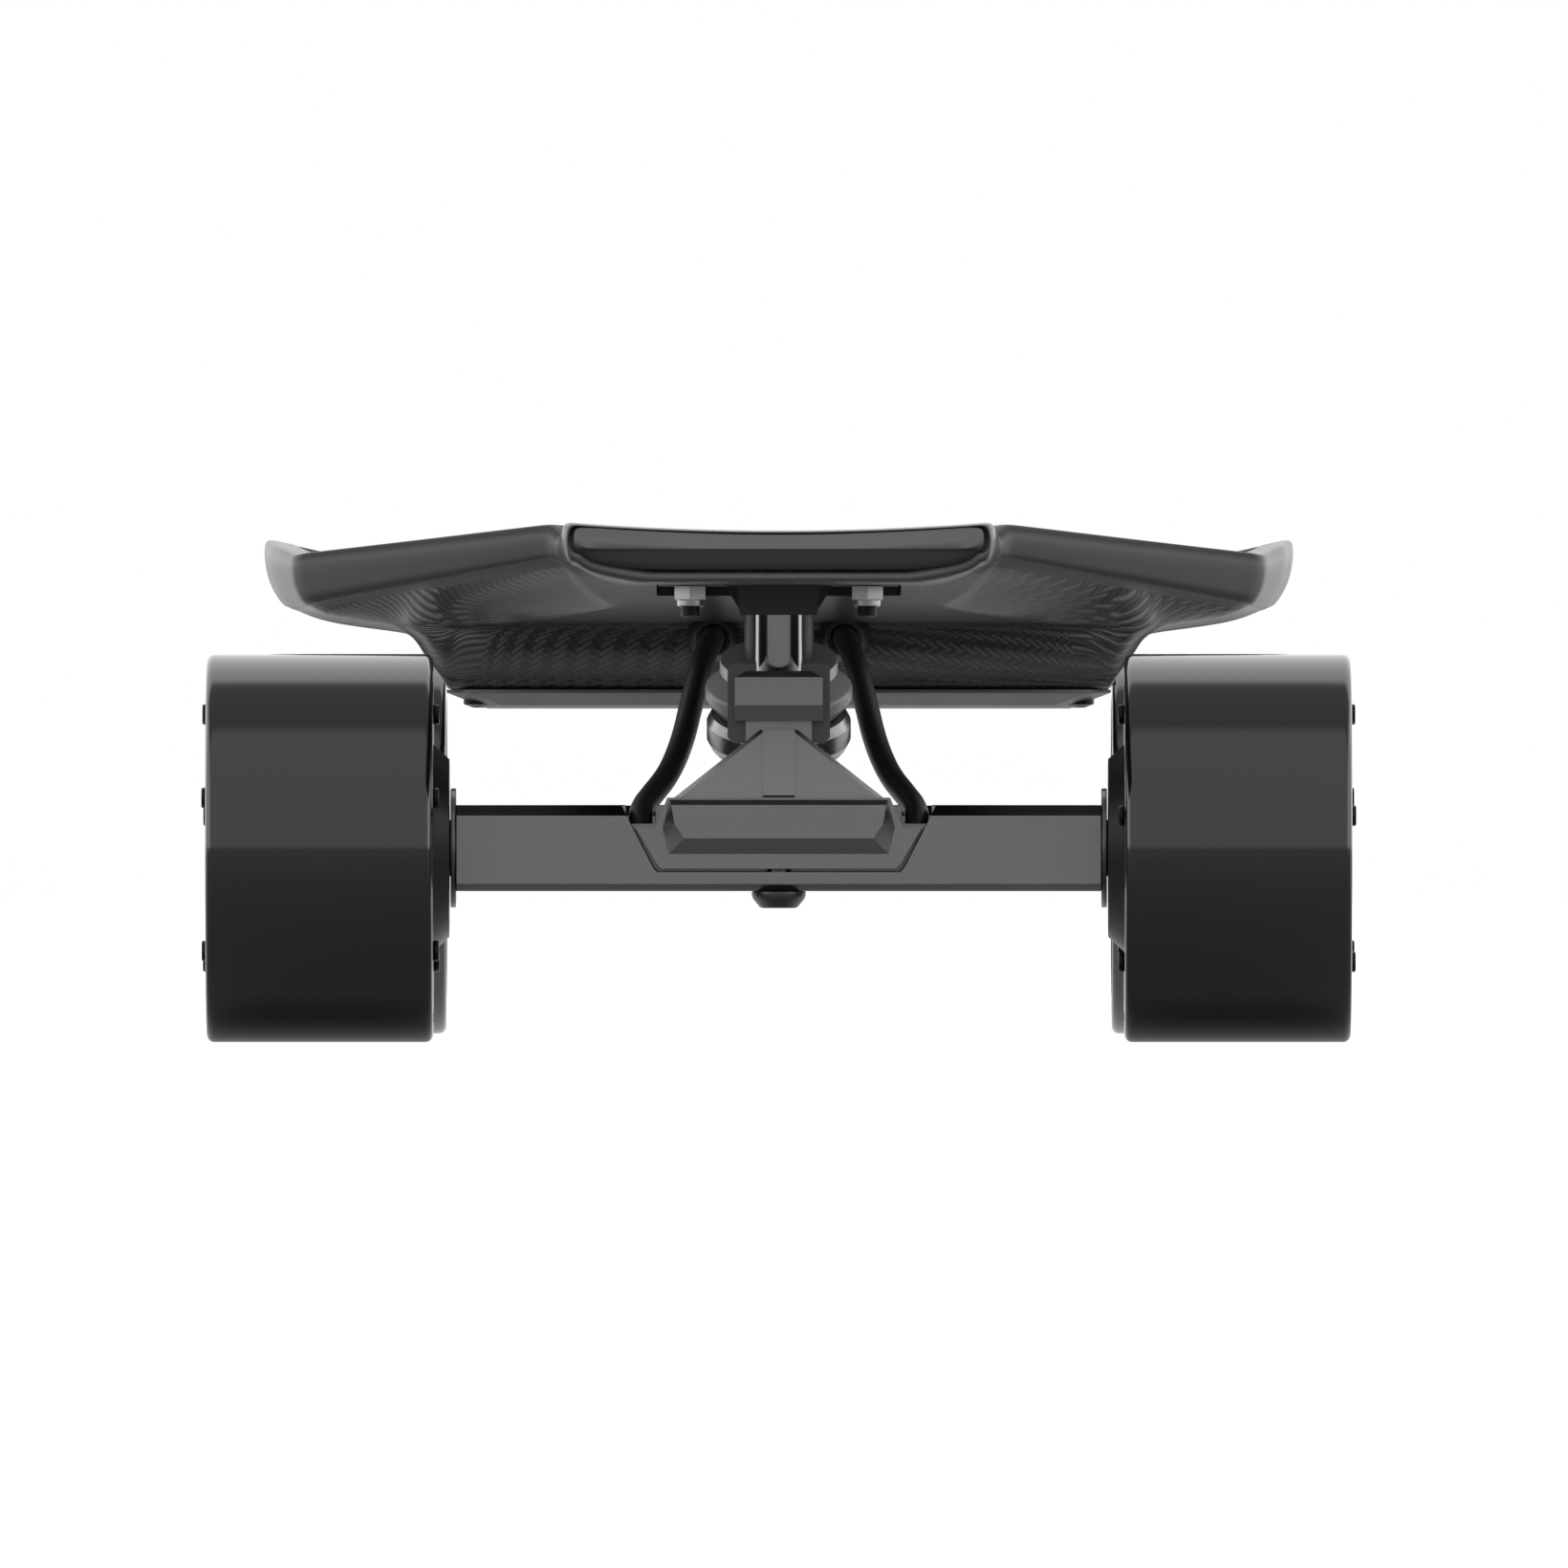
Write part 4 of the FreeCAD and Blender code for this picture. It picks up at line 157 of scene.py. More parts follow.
# A soft key lamp above and before the board shapes the pieces. Mirrored rays don't see it.
KEY_BEFORE, KEY_HEIGHT = 1.5, 2.1
KEY_WIDTH, KEY_DEPTH, KEY_WATTS = 1.6, 0.8, 55.0
deselect()
bpy.ops.object.light_add(type="AREA", location=(0, rear_axle_y - KEY_BEFORE, KEY_HEIGHT))
key = bpy.context.object
key.name = "key_softbox"
key.data.shape = "RECTANGLE"
key.data.size, key.data.size_y = KEY_WIDTH, KEY_DEPTH
key.data.energy = KEY_WATTS
aim = Vector((0, rear_axle_y, 0.1)) - key.location
key.rotation_euler = aim.to_track_quat("-Z", "Y").to_euler()
key.visible_glossy = False
key.visible_camera = False

# The sweep is matt grey paper with a fibre of 2.5 mm. Its own glow lifts it to the backdrop's white
# for the camera and leaves the board's shadow on it. Mirrored rays see only the part beyond the rear
# axle glow, as if a screen stood over the axle.
FIBRE = 2.5 * MM
CAMERA_GLOW, MIRROR_GLOW = 0.93, 0.7
SCREEN_EDGE = 30.0 * MM
bpy.ops.mesh.primitive_plane_add(size=60, location=(0, 0, 0))
floor = bpy.context.object
floor.name = "floor"
paper, tree, shader = material("matt_paper_sweep", "#747474", 0.9)
spot = add_node(tree, "TexCoord").outputs["Object"]
fibre = add_node(tree, "TexNoise", {"Vector": spot, "Scale": 1 / FIBRE})
relief = add_node(tree, "Bump", {"Height": fibre.outputs[0], "Distance": 0.1 * MM, "Strength": 0.2})
tree.links.new(relief.outputs[0], shader.inputs["Normal"])
path = add_node(tree, "LightPath")
place = add_node(tree, "SeparateXYZ", {0: spot})
far_part = add_node(tree, "MapRange", {0: place.outputs["Y"], 1: rear_axle_y - SCREEN_EDGE,
                                       2: rear_axle_y + SCREEN_EDGE, 3: 0.0, 4: MIRROR_GLOW},
                    interpolation_type="SMOOTHSTEP")
mirrored = add_node(tree, "Math", {0: path.outputs["Is Glossy Ray"], 1: path.outputs["Is Transmission Ray"]},
                    operation="MAXIMUM")
mirror_part = add_node(tree, "Math", {0: mirrored.outputs[0], 1: far_part.outputs[0]}, operation="MULTIPLY")
camera_part = add_node(tree, "Math", {0: path.outputs["Is Camera Ray"], 1: CAMERA_GLOW}, operation="MULTIPLY")
own_glow = add_node(tree, "Math", {0: camera_part.outputs[0], 1: mirror_part.outputs[0]}, operation="ADD")
shader.inputs["Emission Color"].default_value = (1, 1, 1, 1)
tree.links.new(own_glow.outputs[0], shader.inputs["Emission Strength"])
floor.data.materials.append(paper)
floor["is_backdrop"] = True

# ---------------------------------------------------------------- deck shell
# One hollow moulding of carbon-fibre twill: a concave platform between two narrow noses, with the
# battery hull moulded below it. It is laid up in a mould and lacquered, so every edge is rounded.

# Distance from the middle, half width, height of the top edge, dish of the top, height of the side
# under the rounded edge, inset and height of the lower side corner, half width and height of the
# flat underside.
STATIONS = [
    (482.0, 54.5, 132.9, 1.9, 129.4, 2.4, 122.8, 34.0, 118.3),
    (479.0, 55.3, 133.3, 2.0, 129.8, 2.8, 122.2, 37.0, 117.9),
    (470.0, 55.8, 133.5, 2.1, 130.0, 3.6, 121.6, 40.0, 117.7),
    (345.0, 55.8, 132.0, 1.8, 128.6, 3.6, 121.6, 40.0, 117.7),
    (326.0, 55.8, 131.2, 1.6, 128.0, 3.6, 121.6, 40.0, 115.2),
    (309.0, 57.0, 130.6, 1.4, 127.8, 3.2, 122.0, 43.0, 112.6),
    (304.0, 60.2, 133.9, 3.4, 130.4, 2.6, 124.4, 46.0, 111.8),
    (277.0, 93.4, 130.1, 4.5, 126.7, 3.4, 118.5, 70.0, 107.7),
    (252.0, 124.4, 126.6, 5.8, 123.6, 4.2, 112.6, 90.0, 107.4),
    (249.0, 126.4, 126.2, 6.0, 123.2, 4.4, 112.0, 92.0, 107.2),
    (206.0, 132.0, 128.9, 9.0, 125.6, 5.6, 111.6, 95.0, 107.0),
    (130.0, 134.4, 130.4, 10.6, 127.2, 6.6, 112.0, 97.0, 107.0),
    (40.0, 135.0, 130.8, 11.0, 127.4, 7.0, 112.2, 98.0, 107.0),
]
# The hull's side, from its shoulder down to its floor: half width and height.
HULL_HALF = 92.2
HULL_SIDE = [(97.4, 106.2), (94.2, 104.2), (HULL_HALF, 100.5), (89.0, 96.2), (87.5, 94.4), (85.8, 90.9)]
# Along each end: distance of the rails, distance of the hull, height of its floor, its half width.
ROWS = [(y, y, 0, 0) for y in (481.6, 479, 474, 466, 440, 400, 360, 330, 318, 314, 309.5, 308, 304.6, 303.4,
                               299, 292, 284)]
ROWS += [
    (279, 277, 0, 0), (276.5, 275.6, 107.4, 83), (273, 275.1, 106.2, 87.5), (270, 275, 100.6, 88.8),
    (267, 269.2, 95.2, 90.6), (263, 268, 93.6, 91.8), (258.5, 267.8, 91.4, HULL_HALF),
    (253.5, 264, 91, HULL_HALF), (252.3, 258, 91, HULL_HALF), (251, 252, 91, HULL_HALF),
]
ROWS += [(y, y, 91, HULL_HALF) for y in (249.4, 247, 242, 232, 206, 170, 130, 85, 40, 0)]
# Width of the rail's rounded rim. The deck counts as wide from 60 mm of half width on, fully at 110.
RIM = 2.4
NOSE_HALF, WIDENING = 60, 50


def measures_at(distance):
    """The station measures at a distance from the middle, straight between two stations."""
    if distance <= STATIONS[-1][0]:
        return STATIONS[-1][1:]
    for far, near in zip(STATIONS, STATIONS[1:]):
        if distance >= near[0]:
            share = min(1.0, (distance - near[0]) / (far[0] - near[0]))
            return [n + (f - n) * share for f, n in zip(far[1:], near[1:])]


def breadth(half):
    """0 where the deck is as narrow as its noses, 1 on the wide platform."""
    return min(1.0, max(0.0, (half - NOSE_HALF) / WIDENING))


def top_height(x, distance):
    """Height of the deck's top surface, which is flatter along the middle of the wide part."""
    half, edge, dish = measures_at(distance)[:3]
    steepness = 2.0 + 1.4 * breadth(half)
    return edge - dish * (1 - min(1.0, abs(x) / (half - RIM)) ** steepness)


def half_section(rails, hull, floor_height, hull_half):
    """Points from the middle of the top round the rail to the middle of the underside, in mm."""
    half, edge, dish, side, tuck, skirt, flat, under = measures_at(rails)
    points = [((half - RIM) * share, -rails, top_height((half - RIM) * share, rails))
              for share in (0, 0.25, 0.5, 0.72, 0.88, 0.965)]
    # The rail's rounded edge, its outer wall and the groove under the wall.
    points += [(half - 1.6, -rails, edge + 0.1), (half - 0.4, -rails, edge - 0.2 * (edge - side)),
               (half, -rails, side - 0.4), (half - tuck / 6, -rails, side - (side - skirt) * 0.55),
               (half - tuck * 0.8, -rails, skirt + 0.6),
               (half - tuck * 0.8 - 1.1, -rails, skirt + 1.1)]
    low = []
    if floor_height:
        reach = hull_half / HULL_HALF
        for x, z in HULL_SIDE:
            low.append((x * reach, -hull, min(under, max(z, floor_height))))
        for share in (0.985, 0.6, 0.3, 0):
            low.append((low[5][0] * share, -hull, min(under, floor_height)))
        knee = max(flat, low[0][0] + 2.5)
    else:
        knee = flat
        for share in (0.94, 0.87, 0.8, 0.72, 0.64, 0.56, 0.48, 0.32, 0.16, 0):
            low.append((flat * share, -hull, under))
    corner = half - tuck * 1.5 - 1.5
    corner = max(corner, knee + 1.0) if floor_height else corner
    # The sloping underside between the rail and the hull, or the nose's flat.
    points += [(min(corner, half - tuck), -rails, skirt - (skirt - under) / 3),
               (corner + (knee - corner) * 0.5, -rails, skirt - (skirt - under) * 0.72),
               (knee, -(rails + hull) / 2, under)]
    return points + low


half_rows = [half_section(*row) for row in ROWS]
full_rows = half_rows + [[(x, -y, z) for x, y, z in row] for row in reversed(half_rows[:-1])]
rings = []
for row in full_rows:
    rings.append([Vector(p) * MM for p in row] + [Vector((-x, y, z)) * MM for x, y, z in reversed(row[1:-1])])
count = len(rings[0])
half_count = len(half_rows[0])

# The lip at each end turns in round the bumper and down into its socket: inset and distance from the
# middle. Above the lip's middle it is thinner than below.
LIP_LOOPS = [(0.35, 482.0), (0.75, 481.7), (0.8, 476.0)]
LIP_MIDDLE = 126.4 * MM
LIP_ABOVE, LIP_BELOW = 0.8, 3.0
for sign in (-1, 1):
    tip = rings[0] if sign < 0 else rings[-1]
    loops = []
    for inset, y in LIP_LOOPS:
        loop = []
        for p in tip:
            rise = p.z - LIP_MIDDLE
            thickness = (LIP_ABOVE if rise > 0 else LIP_BELOW) * inset * MM
            loop.append(Vector((p.x - math.copysign(min(inset * MM, abs(p.x)), p.x), sign * y * MM,
                                p.z - math.copysign(min(thickness, abs(rise)), rise))))
        loops.append(loop)
    rings = loops[::-1] + rings if sign < 0 else rings + loops

vertices = [p for ring in rings for p in ring]
faces = []
for r in range(len(rings) - 1):
    for c in range(count):
        a, b = r * count + c, r * count + (c + 1) % count
        faces.append((a, b, b + count, a + count))
faces.append(tuple(reversed(range(count))))
faces.append(tuple(range((len(rings) - 1) * count, len(rings) * count)))
mesh = bpy.data.meshes.new("deck_shell")
mesh.from_pydata(vertices, [], faces)

# The rails' outer wall and the end lips carry black edge paint instead of bare weave. Along the wall's
# two edges it is painted near black as painted shade: a dark reflection at the top edge and the groove's
# shadow at the lower one. The underside by each truck is painted a plain lighter grey without weave,
# fading into the weave towards the sides. Columns are counted round a section from the middle of the top.
WALL_COLUMNS, SHADE_LINE_COLUMNS = range(6, 12), (7, 10)
LIP_FROM = 481 * MM
PLAIN_FROM, PLAIN_TO = 277.5 * MM, 360 * MM
PLAIN_HALF, PLAIN_FADE = 84 * MM, 40 * MM
painted = mesh.attributes.new("edge_paint", "FLOAT", "POINT")
shade_lined = mesh.attributes.new("edge_shade_line", "FLOAT", "POINT")
plain_grey = mesh.attributes.new("plain_grey_underside", "FLOAT", "POINT")
for i, p in enumerate(vertices):
    column = min(i % count, count - i % count)
    lip = abs(p.y) > LIP_FROM
    painted.data[i].value = float(column in WALL_COLUMNS or lip)
    shade_lined.data[i].value = float(column in SHADE_LINE_COLUMNS and not lip)
    inner = min(1.0, max(0.0, (PLAIN_HALF - abs(p.x)) / PLAIN_FADE))
    below = column > WALL_COLUMNS[-1] and PLAIN_FROM < abs(p.y) < PLAIN_TO
    plain_grey.data[i].value = inner if below else 0.0

# Cloth coordinates in metres: along each strand from the tip, and round the section from the top.
along = [[0.0] * count]
for r in range(1, len(rings)):
    along.append([along[-1][c] + (rings[r][c] - rings[r - 1][c]).length for c in range(count)])
round_top = []
for ring in rings:
    lengths = [0.0]
    for c in range(1, count):
        lengths.append(lengths[-1] + (ring[c] - ring[c - 1]).length)
    whole = lengths[-1] + (ring[0] - ring[-1]).length
    round_top.append([length if c < half_count else length - whole for c, length in enumerate(lengths)])
cloth = mesh.uv_layers.new(name="cloth")
for face in mesh.polygons:
    for loop_index, vertex in zip(face.loop_indices, face.vertices):
        r, c = divmod(vertex, count)
        u = round_top[r][c]
        if len(face.vertices) == 4 and c == half_count - 1 and max(v % count for v in face.vertices) > c:
            u = round_top[r][c + 1] - (rings[r][c + 1] - rings[r][c]).length
        cloth.data[loop_index].uv = (u, along[r][c])


def add_piece(name, data):
    piece = bpy.data.objects.new(name, data)
    bpy.context.scene.collection.objects.link(piece)
    return piece


def pick(piece):
    """Select this piece alone and make it the active one."""
    deselect()
    bpy.context.view_layer.objects.active = piece
    piece.select_set(True)


def apply_modifiers(piece):
    pick(piece)
    for modifier in list(piece.modifiers):
        bpy.ops.object.modifier_apply(modifier=modifier.name)


def subdivide(piece, levels):
    rounding = piece.modifiers.new("rounding", "SUBSURF")
    rounding.levels = rounding.render_levels = levels
    apply_modifiers(piece)


def smooth(piece, degrees):
    pick(piece)
    bpy.ops.object.shade_smooth_by_angle(angle=math.radians(degrees))


def cut_away(piece, tool):
    """Cut the tool's shape out of a piece. The tool is used up."""
    trim = piece.modifiers.new("cut", "BOOLEAN")
    trim.operation, trim.solver, trim.object = "DIFFERENCE", "EXACT", tool
    apply_modifiers(piece)
    bpy.data.objects.remove(tool)


shell = add_piece("deck_shell_moulding", mesh)
subdivide(shell, 2)

# Pockets for the two baseplates, the deck bolts' heads and the side ports. Each truck stands 365 mm
# from the middle, with two of its bolts beyond that and two before it.
SEAT_GAP, SEAT_LOW, SEAT_CORNER = 0.5 * MM, 100 * MM, 1.2 * MM
PORT_LOW = (84 * MM, 97 * MM, 90.5 * MM)
PORT_HIGH = (110 * MM, 163 * MM, 104.5 * MM)
PORT_CORNER = 2.0 * MM
HEAD_RADIUS, HEAD_SUNK = 4.7 * MM, 2.2 * MM
POCKET_RADIUS, POCKET_DEPTH = 4.9 * MM, 12 * MM
TRUCK_AT, BOLT_STEPS = 365.0, (24.0, -30.0)
cutters = []


def cutter_box(low, high, bevel):
    bpy.ops.mesh.primitive_cube_add(size=1, location=(Vector(low) + Vector(high)) / 2)
    box = bpy.context.object
    box.scale = Vector(high) - Vector(low)
    bpy.ops.object.transform_apply(location=True, rotation=True, scale=True)
    soft = box.modifiers.new("corners", "BEVEL")
    soft.width, soft.segments, soft.limit_method = bevel, 4, "NONE"
    apply_modifiers(box)
    cutters.append(box)


def drill(radius, depth, place):
    """An upright cylinder about that place, to cut a round hole with."""
    bpy.ops.mesh.primitive_cylinder_add(vertices=32, radius=radius, depth=depth, location=place)
    bpy.ops.object.transform_apply(location=True, rotation=True, scale=True)
    return bpy.context.object


deselect()
for end in ("rear", "front"):
    low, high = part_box(f"{end}_baseplate")
    cutter_box((low.x - SEAT_GAP, low.y - SEAT_GAP, SEAT_LOW), (high.x + SEAT_GAP, high.y + SEAT_GAP, high.z),
               SEAT_CORNER)
bolts_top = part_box("deck_bolts")[1]
bolt_x = bolts_top.x - HEAD_RADIUS
bolt_spots = [(x, sign * (TRUCK_AT + step) * MM) for x in (-bolt_x, bolt_x)
              for sign in (-1, 1) for step in BOLT_STEPS]
for x, y in bolt_spots:
    cutters.append(drill(POCKET_RADIUS, POCKET_DEPTH, (x, y, bolts_top.z - HEAD_SUNK + POCKET_DEPTH / 2)))
cutter_box(PORT_LOW, PORT_HIGH, PORT_CORNER)
deselect()
for tool in cutters:
    tool.select_set(True)
bpy.context.view_layer.objects.active = cutters[0]
bpy.ops.object.join()
cut_away(shell, bpy.context.object)
smooth(shell, 32)

# Lacquered 2/2 twill: tows 2.5 mm wide pass over two and under two, each row one step along, which
# gives the diagonal ribs. Tows along and across the deck catch the light differently, so the two are
# painted in a lighter and a darker tone, and each tow is painted darker towards its edges as shade in
# the dips between tows. The lacquer lays a thin gloss over them, and the edge paint and the plain grey
# underside hide them.
carbon, tree, shader = material("lacquered_carbon_twill", "#2f2f30", 0.36, 0.0, Specular_IOR_Level=0.28,
                                Coat_Weight=0.12, Coat_Roughness=0.14)
TOW, TOW_RELIEF, CLOUD = 2.5 * MM, 0.25 * MM, 25 * MM
uv = add_node(tree, "UVMap", uv_map="cloth")
threads = add_node(tree, "VectorMath", {0: uv.outputs[0], 1: (1 / TOW, 1 / TOW, 1)}, operation="MULTIPLY")
split = add_node(tree, "SeparateXYZ", {0: threads.outputs[0]})
across = add_node(tree, "Math", {0: split.outputs["X"]}, operation="FLOOR")
down = add_node(tree, "Math", {0: split.outputs["Y"]}, operation="FLOOR")
step = add_node(tree, "Math", {0: across.outputs[0], 1: down.outputs[0]}, operation="ADD")
cycle = add_node(tree, "Math", {0: step.outputs[0], 1: 4.0}, operation="FLOORED_MODULO")
over = add_node(tree, "Math", {0: cycle.outputs[0], 1: 1.5}, operation="LESS_THAN")
crown_x = add_node(tree, "Math", {0: split.outputs["X"], 1: 0.5}, operation="PINGPONG")
crown_y = add_node(tree, "Math", {0: split.outputs["Y"], 1: 0.5}, operation="PINGPONG")
crown = add_node(tree, "Mix", {0: over.outputs[0], 2: crown_y.outputs[0], 3: crown_x.outputs[0]})
# Painted light: tows one way are painted lighter than the other, and each tow is painted darker towards its
# edges as shade.
tone = add_node(tree, "Mix", {0: over.outputs[0], 6: linear("#404040"), 7: linear("#727272")},
                data_type="RGBA")
cloud = add_node(tree, "TexNoise", {"Vector": uv.outputs[0], "Scale": 1 / CLOUD})
depth = add_node(tree, "Math", {0: crown.outputs[0], 1: 1.1}, operation="MULTIPLY")
tow_shaded = add_node(tree, "Mix", {0: depth.outputs[0], 6: linear("#202020"), 7: tone.outputs[2]}, data_type="RGBA")
band = add_node(tree, "Attribute", attribute_name="edge_paint")
paint = add_node(tree, "MapRange", {0: band.outputs["Fac"], 1: 0.45, 2: 0.6})
# The wall's two edges are painted near black as painted shade: a dark reflection at the top edge and the
# groove's shadow below.
line = add_node(tree, "Attribute", attribute_name="edge_shade_line")
edge_shade = add_node(tree, "MapRange", {0: line.outputs["Fac"], 1: 0.3, 2: 0.8})
enamel = add_node(tree, "Mix", {0: edge_shade.outputs[0], 6: linear("#424242"), 7: linear("#080808")},
                  data_type="RGBA")
# The underside by each truck is painted a plain lighter grey without weave, lighter towards the middle.
plain_underside = add_node(tree, "Attribute", attribute_name="plain_grey_underside")
base_surface = add_node(tree, "Mix", {0: plain_underside.outputs["Fac"], 6: tow_shaded.outputs[2], 7: linear("#757575")},
                  data_type="RGBA")
overlaid = add_node(tree, "Mix", {0: paint.outputs[0], 6: base_surface.outputs[2], 7: enamel.outputs[2]},
                  data_type="RGBA")
tree.links.new(overlaid.outputs[2], shader.inputs["Base Color"])
plain = add_node(tree, "Math", {0: paint.outputs[0], 1: plain_underside.outputs["Fac"]}, operation="MAXIMUM")
height = add_node(tree, "Mix", {0: plain.outputs[0], 2: crown.outputs[0], 3: 0.4})
sheen = add_node(tree, "MapRange", {0: cloud.outputs[0], 3: 0.3, 4: 0.42})
tree.links.new(sheen.outputs[0], shader.inputs["Roughness"])
relief = add_node(tree, "Bump", {"Height": height.outputs[0], "Distance": TOW_RELIEF, "Strength": 0.8})
tree.links.new(relief.outputs[0], shader.inputs["Normal"])


def finish_piece(piece, body, node, made):
    """Give a new piece its material and body, and hide the CAD node that it stands for."""
    piece.data.materials.clear()
    piece.data.materials.append(made)
    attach(piece, body)
    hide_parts(node)


finish_piece(shell, "deck", "deck_shell", carbon)

# ---------------------------------------------------------------- grip tape
# A sheet of silicon-carbide grit on a polyester film, stuck into a shallow rebate in the top of the
# deck inside its rim and pierced for the deck bolts.

GRIP_THICKNESS, REBATE, ROUTER_REACH = 0.8, 0.9, 14.0
GRIP_MARGIN, WIDE_MARGIN = 5.0, 3.5
GRIP_COLUMNS = 28
NOSE_END = 470
PUNCH_RADIUS, PUNCH_DEPTH = 5.2 * MM, 20 * MM
PUNCH_HEIGHT = 132 * MM
grip_rows = [476, 466, 440, 400, 360, 330, 318, 312, 309, 306.5, 304, 301, 297, 290, 280, 270, 262, 257, 252,
             249, 245, 238, 222, 206, 185, 160, 130, 100, 70, 40, 0]
grip_rows = [-y for y in grip_rows] + [y for y in reversed(grip_rows[:-1])]
spots, quads = [], []
for y in grip_rows:
    wide = measures_at(min(abs(y), NOSE_END))[0]
    half = wide - GRIP_MARGIN - WIDE_MARGIN * breadth(wide)
    for c in range(GRIP_COLUMNS + 1):
        x = half * (2 * c / GRIP_COLUMNS - 1)
        spots.append((x * MM, y * MM, (top_height(x, abs(y)) - REBATE) * MM))
for r in range(len(grip_rows) - 1):
    for c in range(GRIP_COLUMNS):
        a = r * (GRIP_COLUMNS + 1) + c
        quads.append((a, a + 1, a + GRIP_COLUMNS + 2, a + GRIP_COLUMNS + 1))
mesh = bpy.data.meshes.new("grip_sheet")
mesh.from_pydata(spots, [], quads)
grip = add_piece("grip_sheet", mesh)
subdivide(grip, 1)
router = add_piece("rebate_cutter", grip.data.copy())
for sheet, height in ((grip, GRIP_THICKNESS), (router, ROUTER_REACH)):
    pick(sheet)
    bpy.ops.object.mode_set(mode="EDIT")
    bpy.ops.mesh.select_all(action="SELECT")
    bpy.ops.mesh.extrude_region_move(TRANSFORM_OT_translate={"value": (0, 0, height * MM)})
    bpy.ops.mesh.select_all(action="SELECT")
    bpy.ops.mesh.normals_make_consistent(inside=False)
    bpy.ops.object.mode_set(mode="OBJECT")
cut_away(shell, router)
smooth(shell, 32)
deselect()
for x, y in bolt_spots:
    cut_away(grip, drill(PUNCH_RADIUS, PUNCH_DEPTH, (x, y, PUNCH_HEIGHT)))
smooth(grip, 30)

# Black grit on black film: dull, with grains that stand up sharply and a few that glint. Real grit is
# finer than shows from here, so its grains are drawn 0.7 mm wide. Dust greys it in patches.
GRAIN = 0.7 * MM
grit, tree, shader = material("black_grit_film", "#141414", 0.95, 0.0)
spot = add_node(tree, "TexCoord").outputs["Object"]
grains = add_node(tree, "TexVoronoi", {"Vector": spot, "Scale": 1 / GRAIN})
dust = add_node(tree, "TexNoise", {"Vector": spot, "Scale": 18.0, "Detail": 5.0})
tone = add_node(tree, "Mix", {0: grains.outputs["Color"], 6: linear("#0c0c0c"), 7: linear("#2c2c2d")},
                data_type="RGBA")
worn = add_node(tree, "Mix", {0: dust.outputs[0], 6: tone.outputs[2], 7: linear("#1b1b1b")}, data_type="RGBA")
tree.links.new(worn.outputs[2], shader.inputs["Base Color"])
glint = add_node(tree, "MapRange", {0: grains.outputs["Color"], 1: 0.8, 2: 1.0, 3: 0.95, 4: 0.45})
tree.links.new(glint.outputs[0], shader.inputs["Roughness"])
relief = add_node(tree, "Bump", {"Height": grains.outputs["Distance"], "Distance": GRAIN / 2,
                                 "Strength": 0.9})
tree.links.new(relief.outputs[0], shader.inputs["Normal"])
finish_piece(grip, "deck", "grip_tape", grit)

# ---------------------------------------------------------------- end bumpers
# Moulded rubber blocks pressed into the two ends of the deck. Their faces slope up and down from a
# soft ridge, so the upper half is lit and the lower half is in shade.

# Size in mm of the patches in which a finish drifts in tone and gloss.
PATCH = 40.0


def grained(name, colour, roughness, metallic, grain, depth, spread=0.08, **sockets):
    """A finish whose relief has a grain of that size and depth in mm."""
    made, tree, shader = material(name, colour, roughness, metallic, **sockets)
    spot = add_node(tree, "TexCoord").outputs["Object"]
    fine = add_node(tree, "TexNoise", {"Vector": spot, "Scale": 1 / (grain * MM), "Detail": 3.0})
    wide = add_node(tree, "TexNoise", {"Vector": spot, "Scale": 1 / (PATCH * MM), "Detail": 4.0})
    base = linear(colour)
    darker, lighter = [c * 0.86 for c in base[:3]] + [1.0], [c * 1.14 for c in base[:3]] + [1.0]
    tone = add_node(tree, "Mix", {0: wide.outputs[0], 6: darker, 7: lighter}, data_type="RGBA")
    speck = add_node(tree, "Mix", {0: 0.12, 6: tone.outputs[2], 7: fine.outputs["Color"]},
                     data_type="RGBA", blend_type="SOFT_LIGHT")
    tree.links.new(speck.outputs[2], shader.inputs["Base Color"])
    gloss = add_node(tree, "MapRange", {0: wide.outputs[0], 1: 0.3, 2: 0.7, 3: roughness - spread,
                                        4: roughness + spread})
    tree.links.new(gloss.outputs[0], shader.inputs["Roughness"])
    relief = add_node(tree, "Bump", {"Height": fine.outputs[0], "Distance": depth * MM, "Strength": 0.6})
    tree.links.new(relief.outputs[0], shader.inputs["Normal"])
    return made


# One half of the block's outline, from the middle of its top round to the middle of its underside.
upper = [(0, 130.3), (11.9, 130.4), (27.2, 130.9), (40, 131.6), (47.6, 132.1), (51.2, 132.2), (52.4, 131.6),
         (52.8, 129.4)]
lower = [(52.6, 127.0), (51.6, 124.9), (49.6, 123.3), (46.0, 122.2), (40, 121.5), (34, 121.1), (17, 121.1),
         (0, 121.1)]
half_rim = upper + lower
rim = half_rim + [(-x, z) for x, z in reversed(half_rim[1:-1])]
RIDGE, RIDGE_HALF = 126.6, 0.15
RIM_AT = 482.0
UPPER_LEAN, LOWER_LEAN, LOWER_SUNK = 0.8, 1.25, 2.6
# A loop is drawn in by its whole inset at the sides, and by x / 60 of it within 20 mm of the middle.
MIDDLE_REACH, DRAW_SPAN = 20, 60
